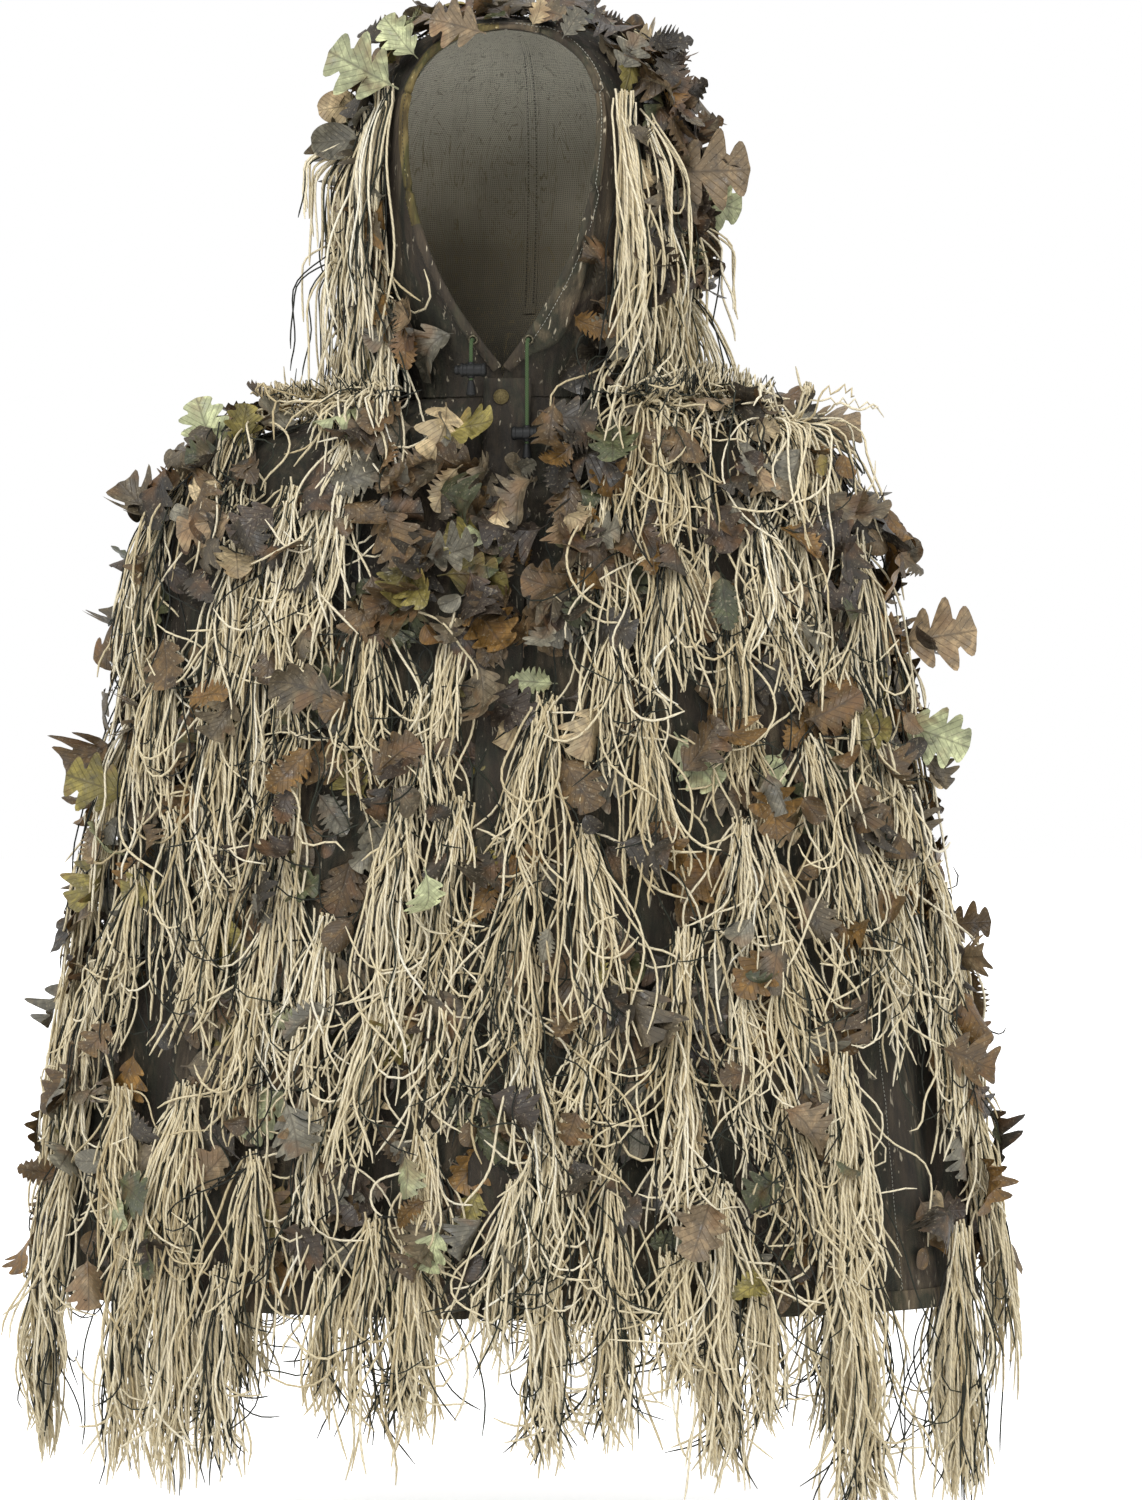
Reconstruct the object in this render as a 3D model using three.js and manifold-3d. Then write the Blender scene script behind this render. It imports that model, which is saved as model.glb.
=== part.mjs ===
// A hooded ghillie poncho, shown as it is worn: hood up, front snapped shut.
// Millimetres, +Z up, the wearer faces -Y, and the wearer's left is +X.
// The origin is at the neck, level with the seam between the hood and the cape.
import * as THREE from 'three';
import { mergeVertices } from 'three/addons/utils/BufferGeometryUtils.js';
import Module from 'manifold-3d';

const wasm = await Module();
wasm.setup();

// ---------- driving dimensions ----------

const HEM_Z = -712;
const FRINGE_TIP_Z = -878;
const FABRIC = 2;
const SEAM_GAP = 0.3;

// Horizontal sections of the cape: height, half width, half depth.
const CAPE_SECTIONS = [
  [FRINGE_TIP_Z - 10, 390, 222],
  [HEM_Z, 374, 205],
  [-560, 357, 186],
  [-400, 332, 162],
  [-240, 305, 138],
  [-150, 290, 123],
  [-100, 278, 110],
  [-60, 260, 98],
  [-40, 238, 93],
  [-24, 196, 89.5],
  [-10, 130, 87],
  [0, 88, 85.5],
];

// The hood's lower part, and the dome above it: height, half width, half depth, shift back.
const HOOD_SECTIONS = [
  [0, 88, 85.5, 0],
  [15, 92, 83.5, 0],
  [44, 103, 93, 1],
  [100, 114, 115, 5],
  [180, 119, 127, 10],
];
const DOME_BASE_Z = 180;
const CROWN_Z = 304;
const DOME_POWER = 2.6;

const SNAP_HEIGHTS = [-1.6, -190, -380, -570];
const PLACKET_TOP_Z = 14;
const PLACKET_HALF = 13.7;
const PLACKET_COVER_X = 22;
const PANEL_EDGE_X = PLACKET_HALF + 2 * SEAM_GAP;
const FLAP_TOP_Z = -56;

// The left front folds open along a line from the throat out to the hem.
const FOLD_TOP_X = 30;
const FOLD_HEM_X = 225;
const FOLD_GAP = 1.5;
// Room beside the inner placket for the flap's edge, which moves sideways a little as it opens.
const SWING_GAP = 2.8;

// The upper hood tips back over the collar, which stays on the shoulders. The cut between them
// runs from above the eyelets up to the back of the neck, and the collar's top is set in a little
// so that the hood passes outside it.
const COLLAR_FRONT_Y = -92;
const COLLAR_FRONT_Z = 62;
const COLLAR_SLOPE = 0.156;
const COLLAR_INSET = 2.8;

const FACE_LOWEST_Z = 17.6;
const FACE_WIDEST_Z = 216;
const FACE_TOP_Z = 292;
const FACE_HALF_WIDTH = 78;
const BINDING_RADIUS = 5;

const EYELET_X = 22;
const EYELET_Z = 44;
const EYELET_GAP = 1.2;
const CORD_RADIUS = 1.5;
const CORD_REACH = 13;
const CORD_TURN_RADIUS = 8;
const CORD_TAIL = 2.4;
const CORD_END_LENGTH = 12.5;
const LOCK_RADIUS = 5.5;
const LOCK_BORE = 4.2;
const LOCK_SPAN = [-12, 8];
const LOCK_HOLE = 2.1;
const BUTTON_RADIUS = 3.8;
const BUTTON_SPAN = [-3.5, 13];
const SPRING_SPAN = [-9.5, -7.5];
const LOCK_Z = { left: -29.6, right: 20 };

// Heights at which the cape's panels have a row of corners.
const CAPE_LEVELS = [-SEAM_GAP, -10, -24, -40, -60, -100, -150, -240, -400, -560, HEM_Z];
const HOOD_LEVELS = [225, 205, 180, 140, 100, 60, 30];

// ---------- materials ----------

function finish(color, roughness, metalness = 0) {
  return new THREE.MeshStandardMaterial({ color, roughness, metalness });
}

const camoCloth = finish(0x4b4338, 0.9);
const bindingCloth = finish(0x5a5138, 0.9);
const meshCloth = finish(0x55513f, 0.95);
const yarn = finish(0xcfbf98, 0.95);
const brass = finish(0xa08340, 0.35, 1);
const darkMetal = finish(0x8c8a80, 0.35, 1);
const blackPlastic = finish(0x1b1e1f, 0.5);
const greenCord = finish(0x3f5a2c, 0.85);
const springSteel = finish(0xb4b4b0, 0.3, 1);

const suit = new THREE.Group();

function addPiece(name, geometry, material) {
  const mesh = new THREE.Mesh(geometry, material);
  mesh.name = name;
  suit.add(mesh);
  return mesh;
}

// ---------- the worn shape ----------

// A smooth value between the rows of a table that is sorted by its first column, without overshoot.
function readTable(table, height, column) {
  const rows = table[0][0] < table[1][0] ? table : [...table].reverse();
  const clamped = THREE.MathUtils.clamp(height, rows[0][0], rows[rows.length - 1][0]);
  let i = 0;
  while (i < rows.length - 2 && clamped > rows[i + 1][0]) {
    i += 1;
  }
  const slope = (k) => (rows[k + 1][column] - rows[k][column]) / (rows[k + 1][0] - rows[k][0]);
  const tangent = (k) => {
    if (k === 0) {
      return slope(0);
    }
    if (k === rows.length - 1) {
      return slope(rows.length - 2);
    }
    const before = slope(k - 1);
    const after = slope(k);
    return before * after <= 0 ? 0 : (2 * before * after) / (before + after);
  };
  const width = rows[i + 1][0] - rows[i][0];
  const t = (clamped - rows[i][0]) / width;
  const start = rows[i][column];
  const end = rows[i + 1][column];
  const startPull = tangent(i) * width;
  const endPull = tangent(i + 1) * width;
  return (
    start * (1 + 2 * t) * (1 - t) ** 2 +
    startPull * t * (1 - t) ** 2 +
    end * t * t * (3 - 2 * t) +
    endPull * t * t * (t - 1)
  );
}

// The outline at one height: an ellipse of half width a and half depth b, shifted back by c.
function section(z) {
  if (z <= 0) {
    return { a: readTable(CAPE_SECTIONS, z, 1), b: readTable(CAPE_SECTIONS, z, 2), c: 0 };
  }
  if (z <= DOME_BASE_Z) {
    return {
      a: readTable(HOOD_SECTIONS, z, 1),
      b: readTable(HOOD_SECTIONS, z, 2),
      c: readTable(HOOD_SECTIONS, z, 3),
    };
  }
  const rise = Math.min((z - DOME_BASE_Z) / (CROWN_Z - DOME_BASE_Z), 1);
  const shrink = (1 - rise ** DOME_POWER) ** (1 / DOME_POWER);
  const [, width, depth, shift] = HOOD_SECTIONS[HOOD_SECTIONS.length - 1];
  return { a: width * shrink, b: depth * shrink, c: shift };
}

// A point of the worn surface, moved outward by offset. Angle 0 is the front, 90 degrees is +X.
function surfacePoint(angle, z, offset = 0) {
  const step = 0.5;
  const here = section(z);
  const up = section(z + step);
  const down = section(z - step);
  const da = (up.a - down.a) / (2 * step);
  const db = (up.b - down.b) / (2 * step);
  const dc = (up.c - down.c) / (2 * step);
  const s = Math.sin(angle);
  const k = Math.cos(angle);
  const normal = new THREE.Vector3(
    here.b * s,
    -here.a * k,
    here.a * k * (dc - db * k) - here.b * s * da * s,
  ).normalize();
  return new THREE.Vector3(here.a * s, here.c - here.b * k, z).addScaledVector(normal, offset);
}

function angleAtX(x, z) {
  return Math.asin(THREE.MathUtils.clamp(x / section(z).a, -1, 1));
}

function foldX(z) {
  const t = (FLAP_TOP_Z - z) / (FLAP_TOP_Z - HEM_Z);
  return THREE.MathUtils.lerp(FOLD_TOP_X, FOLD_HEM_X, t);
}

// ---------- closed solids from grids ----------

function turnOutward(positions, indices) {
  let volume = 0;
  const corner = (i) => new THREE.Vector3().fromArray(positions, 3 * i);
  for (let i = 0; i < indices.length; i += 3) {
    const [p, q, r] = [corner(indices[i]), corner(indices[i + 1]), corner(indices[i + 2])];
    volume += p.dot(q.cross(r));
  }
  return volume < 0 ? indices.reverse() : indices;
}

// A sheet with thickness: point(u, row, side) gives the inner (side 0) and outer (side 1) faces.
function gridSolid(columns, rows, point) {
  const positions = [];
  const indices = [];
  for (const side of [1, 0]) {
    for (let row = 0; row <= rows; row += 1) {
      for (let column = 0; column <= columns; column += 1) {
        positions.push(...point(column / columns, row, side).toArray());
      }
    }
  }
  const layer = (columns + 1) * (rows + 1);
  const index = (column, row, side) => side * layer + row * (columns + 1) + column;
  const quad = (p, q, r, s) => indices.push(p, q, r, p, r, s);
  for (let row = 0; row < rows; row += 1) {
    for (let column = 0; column < columns; column += 1) {
      const cell = (side) => [
        index(column, row, side),
        index(column + 1, row, side),
        index(column + 1, row + 1, side),
        index(column, row + 1, side),
      ];
      quad(...cell(0));
      quad(...cell(1).reverse());
    }
    quad(index(0, row + 1, 0), index(0, row + 1, 1), index(0, row, 1), index(0, row, 0));
    quad(
      index(columns, row, 0),
      index(columns, row, 1),
      index(columns, row + 1, 1),
      index(columns, row + 1, 0),
    );
  }
  for (let column = 0; column < columns; column += 1) {
    quad(index(column, 0, 0), index(column, 0, 1), index(column + 1, 0, 1), index(column + 1, 0, 0));
    quad(
      index(column + 1, rows, 0),
      index(column + 1, rows, 1),
      index(column, rows, 1),
      index(column, rows, 0),
    );
  }
  const geometry = new THREE.BufferGeometry();
  geometry.setAttribute('position', new THREE.Float32BufferAttribute(positions, 3));
  geometry.setIndex(turnOutward(positions, indices));
  return geometry;
}

// A piece of the worn surface between two edges, given as angles for each height.
// inner and outer are offsets from the surface for a share v of the way down.
// bottom gives the lowest row's height for each share u of the way across, and spread moves the
// rows above it too.
function wrap({ levels, columns, left, right, inner, outer, bottom = null, spread = false }) {
  const last = levels.length - 1;
  const height = (u, row) => {
    if (!bottom || (row < last && !spread)) {
      return levels[row];
    }
    const share = (levels[0] - levels[row]) / (levels[0] - levels[last]);
    return THREE.MathUtils.lerp(levels[0], bottom(u), share);
  };
  return gridSolid(columns, last, (u, row, side) => {
    const z = height(u, row);
    const v = (levels[0] - z) / (levels[0] - levels[last]);
    const angle = THREE.MathUtils.lerp(left(z), right(z), u);
    return surfacePoint(angle, z, side ? outer(v) : inner(v));
  });
}

function levelsBetween(top, bottom, levels = CAPE_LEVELS) {
  return [top, ...levels.filter((z) => z < top - 8 && z > bottom + 8), bottom];
}

const always = (value) => () => value;

// ---------- booleans ----------

function solidOf(geometry) {
  const bare = geometry.clone();
  bare.deleteAttribute('normal');
  bare.deleteAttribute('uv');
  const merged = mergeVertices(bare, 1e-4);
  return new wasm.Manifold(
    new wasm.Mesh({
      numProp: 3,
      vertProperties: Float32Array.from(merged.attributes.position.array),
      triVerts: Uint32Array.from(merged.index.array),
    }),
  );
}

function geometryOf(solid) {
  const mesh = solid.getMesh();
  const geometry = new THREE.BufferGeometry();
  geometry.setAttribute('position', new THREE.Float32BufferAttribute(mesh.vertProperties, 3));
  geometry.setIndex(Array.from(mesh.triVerts));
  return geometry;
}

function box(low, high) {
  const size = high.map((value, i) => value - low[i]);
  const centre = high.map((value, i) => (value + low[i]) / 2);
  return solidOf(new THREE.BoxGeometry(...size).translate(...centre));
}

// ---------- cape panels ----------

const sideGap = (z) => SEAM_GAP / (2 * section(z).b);
const rightSide = (z) => -Math.PI / 2 + sideGap(z);
const leftSide = (z) => Math.PI / 2 - sideGap(z);

function capePanel(levels, columns, left, right) {
  return wrap({ levels, columns, left, right, inner: always(-FABRIC), outer: always(0) });
}

function addPanels() {
  const backStart = (z) => Math.PI / 2 + sideGap(z);
  const backEnd = (z) => (3 * Math.PI) / 2 - sideGap(z);
  addPiece('back_panel', capePanel(CAPE_LEVELS, 20, backStart, backEnd), camoCloth);
  const rightEdge = (z) => angleAtX(-PANEL_EDGE_X, z);
  addPiece('front_right_panel', capePanel(CAPE_LEVELS, 10, rightSide, rightEdge), camoCloth);

  const aboveFlap = FLAP_TOP_Z + 1.1;
  const leftEdge = (z) => angleAtX(z >= aboveFlap ? PANEL_EDGE_X : foldX(z) + FOLD_GAP, z);
  const above = CAPE_LEVELS.filter((z) => z > aboveFlap);
  const below = CAPE_LEVELS.filter((z) => z < FLAP_TOP_Z);
  const leftLevels = [...above, aboveFlap, aboveFlap - SEAM_GAP, ...below];
  addPiece('front_left_panel', capePanel(leftLevels, 8, leftEdge, leftSide), camoCloth);

  const flapLevels = [FLAP_TOP_Z, ...below.slice(1)];
  const flapEdge = (z) => angleAtX(PLACKET_HALF + SWING_GAP, z);
  const flapFold = (z) => angleAtX(foldX(z) - FOLD_GAP, z);
  addPiece('front_left_flap', capePanel(flapLevels, 6, flapEdge, flapFold), camoCloth);
}

// ---------- hem bindings ----------

function addHemBindings() {
  const levels = [HEM_Z + 14, HEM_Z];
  const shape = { levels, inner: always(0.4), outer: always(1.8) };
  const edges = {
    hem_binding_back: [20, (z) => Math.PI - leftSide(z), (z) => Math.PI + leftSide(z)],
    hem_binding_right: [10, rightSide, (z) => angleAtX(-PANEL_EDGE_X, z)],
    hem_binding_left: [8, (z) => angleAtX(foldX(z) + FOLD_GAP, z), leftSide],
    hem_binding_flap: [
      6,
      (z) => angleAtX(PLACKET_COVER_X + 1, z),
      (z) => angleAtX(foldX(z) - FOLD_GAP, z),
    ],
  };
  for (const [name, [columns, left, right]] of Object.entries(edges)) {
    addPiece(name, wrap({ ...shape, columns, left, right }), bindingCloth);
  }
}

// ---------- plackets and snaps ----------

// The stack of a snap, as distances out from the worn surface.
const UNDER_PLACKET = [-2, 0.4];
const OVER_PLACKET = [4, 6];
const SNAP_HOLE_RADIUS = 1.6;
const SNAP_SHANK_RADIUS = 1.2;
const SNAP_SIDES = 12;

// Moves a piece made along +Y, from its place in the stack, onto the front at one height.
function placeOnFront(geometry, z) {
  const origin = surfacePoint(0, z);
  const outward = surfacePoint(0, z, 1).sub(origin);
  const turn = new THREE.Quaternion().setFromUnitVectors(new THREE.Vector3(0, 1, 0), outward);
  return geometry.applyQuaternion(turn).translate(...origin.toArray());
}

function lathe(profile, sides) {
  const points = profile.map(([radius, height]) => new THREE.Vector2(radius, height));
  return new THREE.LatheGeometry(points, sides);
}

function placket(levels, offsets, coverX, heights) {
  const left = (z) => angleAtX(-PLACKET_HALF, z);
  const right = (z) => angleAtX(coverX, z);
  const [inner, outer] = offsets.map(always);
  const flatSpots = heights.flatMap((z) => [z + 8, z, z - 8]);
  const clear = levels.filter((z) => flatSpots.every((spot) => Math.abs(z - spot) > 5));
  const rows = [...clear, ...flatSpots];
  rows.sort((p, q) => q - p);
  let strip = solidOf(wrap({ levels: rows, columns: 4, left, right, inner, outer }));
  for (const z of heights) {
    const drill = new THREE.CylinderGeometry(SNAP_HOLE_RADIUS, SNAP_HOLE_RADIUS, 30, SNAP_SIDES);
    strip = strip.subtract(solidOf(placeOnFront(drill, z)));
  }
  return geometryOf(strip);
}

function addPlackets() {
  const all = [PLACKET_TOP_Z, ...CAPE_LEVELS];
  const top = [PLACKET_TOP_Z, ...CAPE_LEVELS.filter((z) => z > FLAP_TOP_Z + 2), FLAP_TOP_Z + 1.1];
  const rest = [FLAP_TOP_Z, ...CAPE_LEVELS.filter((z) => z < FLAP_TOP_Z - 8)];
  const [throat, ...lower] = SNAP_HEIGHTS;
  const under = placket(all, UNDER_PLACKET, PLACKET_HALF, SNAP_HEIGHTS);
  addPiece('placket_under', under, camoCloth);
  addPiece('placket_over_throat', placket(top, OVER_PLACKET, PLACKET_COVER_X, [throat]), camoCloth);
  addPiece('placket_over', placket(rest, OVER_PLACKET, PLACKET_COVER_X, lower), camoCloth);
}

const SNAP_PROFILES = {
  snap_cap: [
    [0, 3.9],
    [SNAP_SHANK_RADIUS, 3.9],
    [SNAP_SHANK_RADIUS, 7.3],
    [6.2, 7.3],
    [6.2, 7.8],
    [4.6, 8.6],
    [0, 9],
  ],
  snap_socket: [
    [2.8, 2],
    [5.2, 2],
    [5.2, 2.6],
    [4, 3.4],
    [2.8, 3.4],
    [2.8, 2],
  ],
  snap_stud: [
    [0, 1],
    [5, 1],
    [5, 1.5],
    [2, 1.7],
    [2.3, 3],
    [1.8, 3.6],
    [0, 3.6],
  ],
  snap_post: [
    [0, -3.6],
    [5, -3.6],
    [5, -2.8],
    [SNAP_SHANK_RADIUS, -2.8],
    [SNAP_SHANK_RADIUS, 0.7],
    [0, 0.7],
  ],
};

function addSnaps() {
  SNAP_HEIGHTS.forEach((z, i) => {
    for (const [piece, profile] of Object.entries(SNAP_PROFILES)) {
      addPiece(`${piece}_${i + 1}`, placeOnFront(lathe(profile, SNAP_SIDES), z), brass);
    }
  });
}

// ---------- neck seam band ----------

// A strip inside the neck that covers the seam between hood and cape, open at the front.
function addNeckBand() {
  const halfWidth = 7;
  const levels = [halfWidth, -halfWidth];
  const outerInset = FABRIC + 0.7;
  const innerInset = outerInset + 1.6;
  const openHalfAngle = 0.32;
  const { a, b } = section(0);
  const band = gridSolid(24, 1, (u, row, side) => {
    const angle = THREE.MathUtils.lerp(openHalfAngle, 2 * Math.PI - openHalfAngle, u);
    const inset = side ? outerInset : innerInset;
    return new THREE.Vector3((a - inset) * Math.sin(angle), -(b - inset) * Math.cos(angle), levels[row]);
  });
  addPiece('neck_band', band, bindingCloth);
}

// ---------- hood ----------

// A closed dome, from height base up to the crown. insetAt gives how far it is set in from the
// hood's outer face at a height.
function dome(insetAt, base) {
  const rings = 12;
  const sides = 24;
  const top = CROWN_Z - insetAt(CROWN_Z);
  const positions = [];
  const indices = [];
  for (let ring = 0; ring < rings; ring += 1) {
    const z = base + (top - base) * Math.sin((ring / rings) * (Math.PI / 2));
    const { a, b, c } = section(Math.max(z * (CROWN_Z / top), 0));
    const inset = insetAt(z);
    for (let side = 0; side < sides; side += 1) {
      const angle = (side / sides) * 2 * Math.PI;
      positions.push((a - inset) * Math.sin(angle), c - (b - inset) * Math.cos(angle), z);
    }
  }
  const crown = positions.length / 3;
  positions.push(0, section(DOME_BASE_Z).c, top);
  const floor = crown + 1;
  positions.push(0, 0, base);
  for (let side = 0; side < sides; side += 1) {
    const next = (side + 1) % sides;
    for (let ring = 0; ring < rings - 1; ring += 1) {
      const low = ring * sides;
      const high = low + sides;
      indices.push(low + side, low + next, high + next, low + side, high + next, high + side);
    }
    const last = (rings - 1) * sides;
    indices.push(last + side, last + next, crown, next, side, floor);
  }
  const geometry = new THREE.BufferGeometry();
  geometry.setAttribute('position', new THREE.Float32BufferAttribute(positions, 3));
  geometry.setIndex(turnOutward(positions, indices));
  return solidOf(geometry);
}

// One side of the teardrop face opening, from its lowest point to its top.
function faceEdge() {
  const widest = new THREE.Vector2(FACE_HALF_WIDTH, FACE_WIDEST_Z);
  const edge = new THREE.CurvePath();
  edge.add(
    new THREE.CubicBezierCurve(
      new THREE.Vector2(0, FACE_LOWEST_Z),
      new THREE.Vector2(36, 62),
      new THREE.Vector2(FACE_HALF_WIDTH, 120),
      widest,
    ),
  );
  edge.add(
    new THREE.CubicBezierCurve(
      widest,
      new THREE.Vector2(FACE_HALF_WIDTH, 264),
      new THREE.Vector2(46, FACE_TOP_Z),
      new THREE.Vector2(0, FACE_TOP_Z),
    ),
  );
  return edge;
}

function faceSolid() {
  const side = faceEdge().getSpacedPoints(14);
  const otherSide = side.slice(1, -1).map(({ x, y }) => new THREE.Vector2(-x, y)).reverse();
  const shape = new THREE.Shape([...side, ...otherSide]);
  const prism = new THREE.ExtrudeGeometry(shape, { depth: 250, bevelEnabled: false });
  return solidOf(prism.rotateX(Math.PI / 2));
}

// The face edge laid on the hood's front, at the middle of the fabric.
function frontPoint(x, z) {
  const { a, b, c } = section(z);
  const inset = FABRIC / 2;
  const share = Math.min(Math.abs(x) / (a - inset), 1);
  return new THREE.Vector3(x, c - (b - inset) * Math.sqrt(1 - share * share), z);
}

function bindingPath() {
  const side = faceEdge().getSpacedPoints(16).slice(1);
  const startX = BINDING_RADIUS - 0.6;
  const start = new THREE.Vector2(startX, FACE_LOWEST_Z + startX * 1.2);
  const half = [start, ...side];
  const otherHalf = half.slice(0, -1).reverse().map(({ x, y }) => new THREE.Vector2(-x, y));
  const points = [...half, ...otherHalf].map((point) => frontPoint(point.x, point.y));
  return new THREE.CatmullRomCurve3(points, false, 'centripetal');
}

function tube(path, radius, steps, sides) {
  const ring = [];
  for (let i = 0; i < sides; i += 1) {
    const angle = (i / sides) * 2 * Math.PI;
    ring.push(new THREE.Vector2(radius * Math.cos(angle), radius * Math.sin(angle)));
  }
  return new THREE.ExtrudeGeometry(new THREE.Shape(ring), { extrudePath: path, steps });
}

// The space above (1) or below (-1) the cut between the collar and the upper hood.
function besideCollarCut(side) {
  const slab = new THREE.BoxGeometry(500, 700, 500).translate(0, 0, side * (250 + SEAM_GAP));
  return solidOf(slab.rotateX(Math.atan(COLLAR_SLOPE)).translate(0, COLLAR_FRONT_Y, COLLAR_FRONT_Z));
}

function addHood() {
  const steps = 34;
  const path = bindingPath();
  const roomForBinding = solidOf(tube(path, BINDING_RADIUS + 0.5, steps, 8));
  const face = faceSolid();
  const notch = box([-PLACKET_COVER_X - 2, -120, -5], [PLACKET_COVER_X + 2, -40, PLACKET_TOP_Z + 1.3]);
  const shell = (insetAt) =>
    dome(insetAt, SEAM_GAP)
      .subtract(dome((z) => insetAt(z) + FABRIC, -8))
      .subtract(face)
      .subtract(roomForBinding)
      .subtract(notch);
  const hoodShell = shell(always(0));
  const collarShell = shell((z) => COLLAR_INSET * THREE.MathUtils.smoothstep(z, 8, 40));
  const halfGap = SEAM_GAP / 2;
  const leftHalf = box([halfGap, -200, -10], [200, 200, 320]);
  const rightHalf = box([-200, -200, -10], [-halfGap, 200, 320]);
  const upper = besideCollarCut(1);
  const lower = besideCollarCut(-1);
  const upperHood = hoodShell.intersect(upper);
  addPiece('hood_left_panel', geometryOf(upperHood.intersect(leftHalf)), camoCloth);
  addPiece('hood_right_panel', geometryOf(upperHood.intersect(rightHalf)), camoCloth);
  addPiece('hood_collar', geometryOf(collarShell.intersect(lower)), camoCloth);

  const binding = solidOf(tube(path, BINDING_RADIUS, steps, 8));
  addPiece('hood_face_binding', geometryOf(binding.intersect(upper)), bindingCloth);
  const throat = binding.intersect(lower);
  addPiece('throat_binding_left', geometryOf(throat.intersect(leftHalf)), bindingCloth);
  addPiece('throat_binding_right', geometryOf(throat.intersect(rightHalf)), bindingCloth);

  const tapeInset = FABRIC + 0.5;
  const tapeHalf = 6;
  const tapeFrontY = -52;
  const tapeRoom = box([-tapeHalf, tapeFrontY, 12], [tapeHalf, 200, 310]);
  const tapeShell = dome(always(tapeInset), -8).subtract(dome(always(tapeInset + 1), -12));
  const tape = tapeShell.intersect(tapeRoom);
  addPiece('hood_seam_tape', geometryOf(tape.subtract(roomForBinding).intersect(upper)), meshCloth);
}

// ---------- drawcord ----------

// Where the cord leaves the face binding, in front of it.
function eyeletPlace(side) {
  const x = EYELET_X * side;
  const onBinding = frontPoint(x, EYELET_Z);
  return new THREE.Vector3(x, onBinding.y - BINDING_RADIUS - EYELET_GAP, EYELET_Z);
}

// Straight out of the eyelet, round one easy bend, and then straight down.
function cordPath(exit, endZ) {
  const points = [exit.clone()];
  const straight = CORD_REACH - CORD_TURN_RADIUS;
  for (let i = 0; i <= 6; i += 1) {
    const angle = (i / 6) * (Math.PI / 2);
    points.push(
      new THREE.Vector3(
        exit.x,
        exit.y - straight - CORD_TURN_RADIUS * Math.sin(angle),
        exit.z - CORD_TURN_RADIUS * (1 - Math.cos(angle)),
      ),
    );
  }
  const hangs = exit.z - CORD_TURN_RADIUS - endZ;
  const count = Math.max(3, Math.round(hangs / 8));
  for (let i = 1; i <= count; i += 1) {
    const z = exit.z - CORD_TURN_RADIUS - (hangs * i) / count;
    points.push(new THREE.Vector3(exit.x, exit.y - CORD_REACH, z));
  }
  return new THREE.CatmullRomCurve3(points, false, 'centripetal');
}

// A barrel lock lying along X, with its button on the side given by outSide (1 or -1).
function addCordLock(name, x, y, z, outSide) {
  const rod = (radius, start, end) => {
    const geometry = new THREE.CylinderGeometry(radius, radius, end - start, 16);
    return solidOf(geometry.rotateZ(-Math.PI / 2).translate(x + (outSide * (start + end)) / 2, y, z));
  };
  const [closedEnd, openEnd] = LOCK_SPAN;
  const wall = 2;
  const hole = new THREE.CylinderGeometry(LOCK_HOLE, LOCK_HOLE, 20, 12).rotateX(Math.PI / 2);
  const barrel = rod(LOCK_RADIUS, closedEnd, openEnd)
    .subtract(rod(LOCK_BORE, closedEnd + wall, openEnd + wall))
    .subtract(solidOf(hole.translate(x, y, z)));
  addPiece(`cord_lock_${name}`, geometryOf(barrel), blackPlastic);

  // The slot is longer than the cord is wide, so the button can travel past it.
  const slotMiddle = 1.75;
  const slot = new THREE.BoxGeometry(2 * BUTTON_RADIUS, 2 * LOCK_HOLE, 20);
  const button = rod(BUTTON_RADIUS, ...BUTTON_SPAN);
  const slotted = button.subtract(solidOf(slot.translate(x + outSide * slotMiddle, y, z)));
  addPiece(`cord_lock_button_${name}`, geometryOf(slotted), blackPlastic);

  const wireRadius = 0.4;
  const coilRadius = 2.8;
  const steps = 16;
  const [springStart, springEnd] = SPRING_SPAN;
  const turns = [];
  for (let i = 0; i <= steps; i += 1) {
    const angle = (i / steps) * 4 * Math.PI;
    const along = THREE.MathUtils.lerp(springStart, springEnd, i / steps);
    const [dy, dz] = [coilRadius * Math.cos(angle), coilRadius * Math.sin(angle)];
    turns.push(new THREE.Vector3(x + outSide * along, y + dy, z + dz));
  }
  const coil = tube(new THREE.CatmullRomCurve3(turns), wireRadius, steps, 5);
  addPiece(`cord_lock_spring_${name}`, coil, springSteel);
}

function addDrawcord(name, side) {
  const exit = eyeletPlace(side);
  const ring = lathe(
    [
      [2.2, 0],
      [4.2, 0],
      [4, 0.9],
      [2.8, 1.3],
      [2.2, 1],
      [2.2, 0],
    ],
    12,
  );
  const eyelet = ring.rotateX(Math.PI).translate(exit.x, exit.y, exit.z);
  addPiece(`eyelet_${name}`, eyelet, darkMetal);

  const lockZ = LOCK_Z[name];
  const endZ = lockZ - LOCK_RADIUS - CORD_TAIL;
  addPiece(`drawcord_${name}`, tube(cordPath(exit, endZ), CORD_RADIUS, 26, 8), greenCord);
  const cap = lathe(
    [
      [0, -CORD_END_LENGTH],
      [3.4, -CORD_END_LENGTH],
      [4, -11],
      [2.7, -1.5],
      [2.2, -SEAM_GAP],
      [0, -SEAM_GAP],
    ],
    10,
  );
  const hangY = exit.y - CORD_REACH;
  addPiece(`cord_end_${name}`, cap.rotateX(Math.PI / 2).translate(exit.x, hangY, endZ), blackPlastic);
  addCordLock(name, exit.x, hangY, lockZ, side);
}

// ---------- yarn fringe, one solid for each tier of tufts ----------

const TIERS = [
  [-30, -290],
  [-262, -520],
  [-492, FRINGE_TIP_Z],
];
const fringeInner = (v) => 1.2 + 13 * v;
const fringeOuter = (v) => 9 + 19 * v;

// Tuft tips and the notches between them, for an even number of columns.
function tuftTips(columns, bottom, depth) {
  return (u) => bottom + (Math.round(u * columns) % 2 ? 0 : depth);
}

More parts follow.
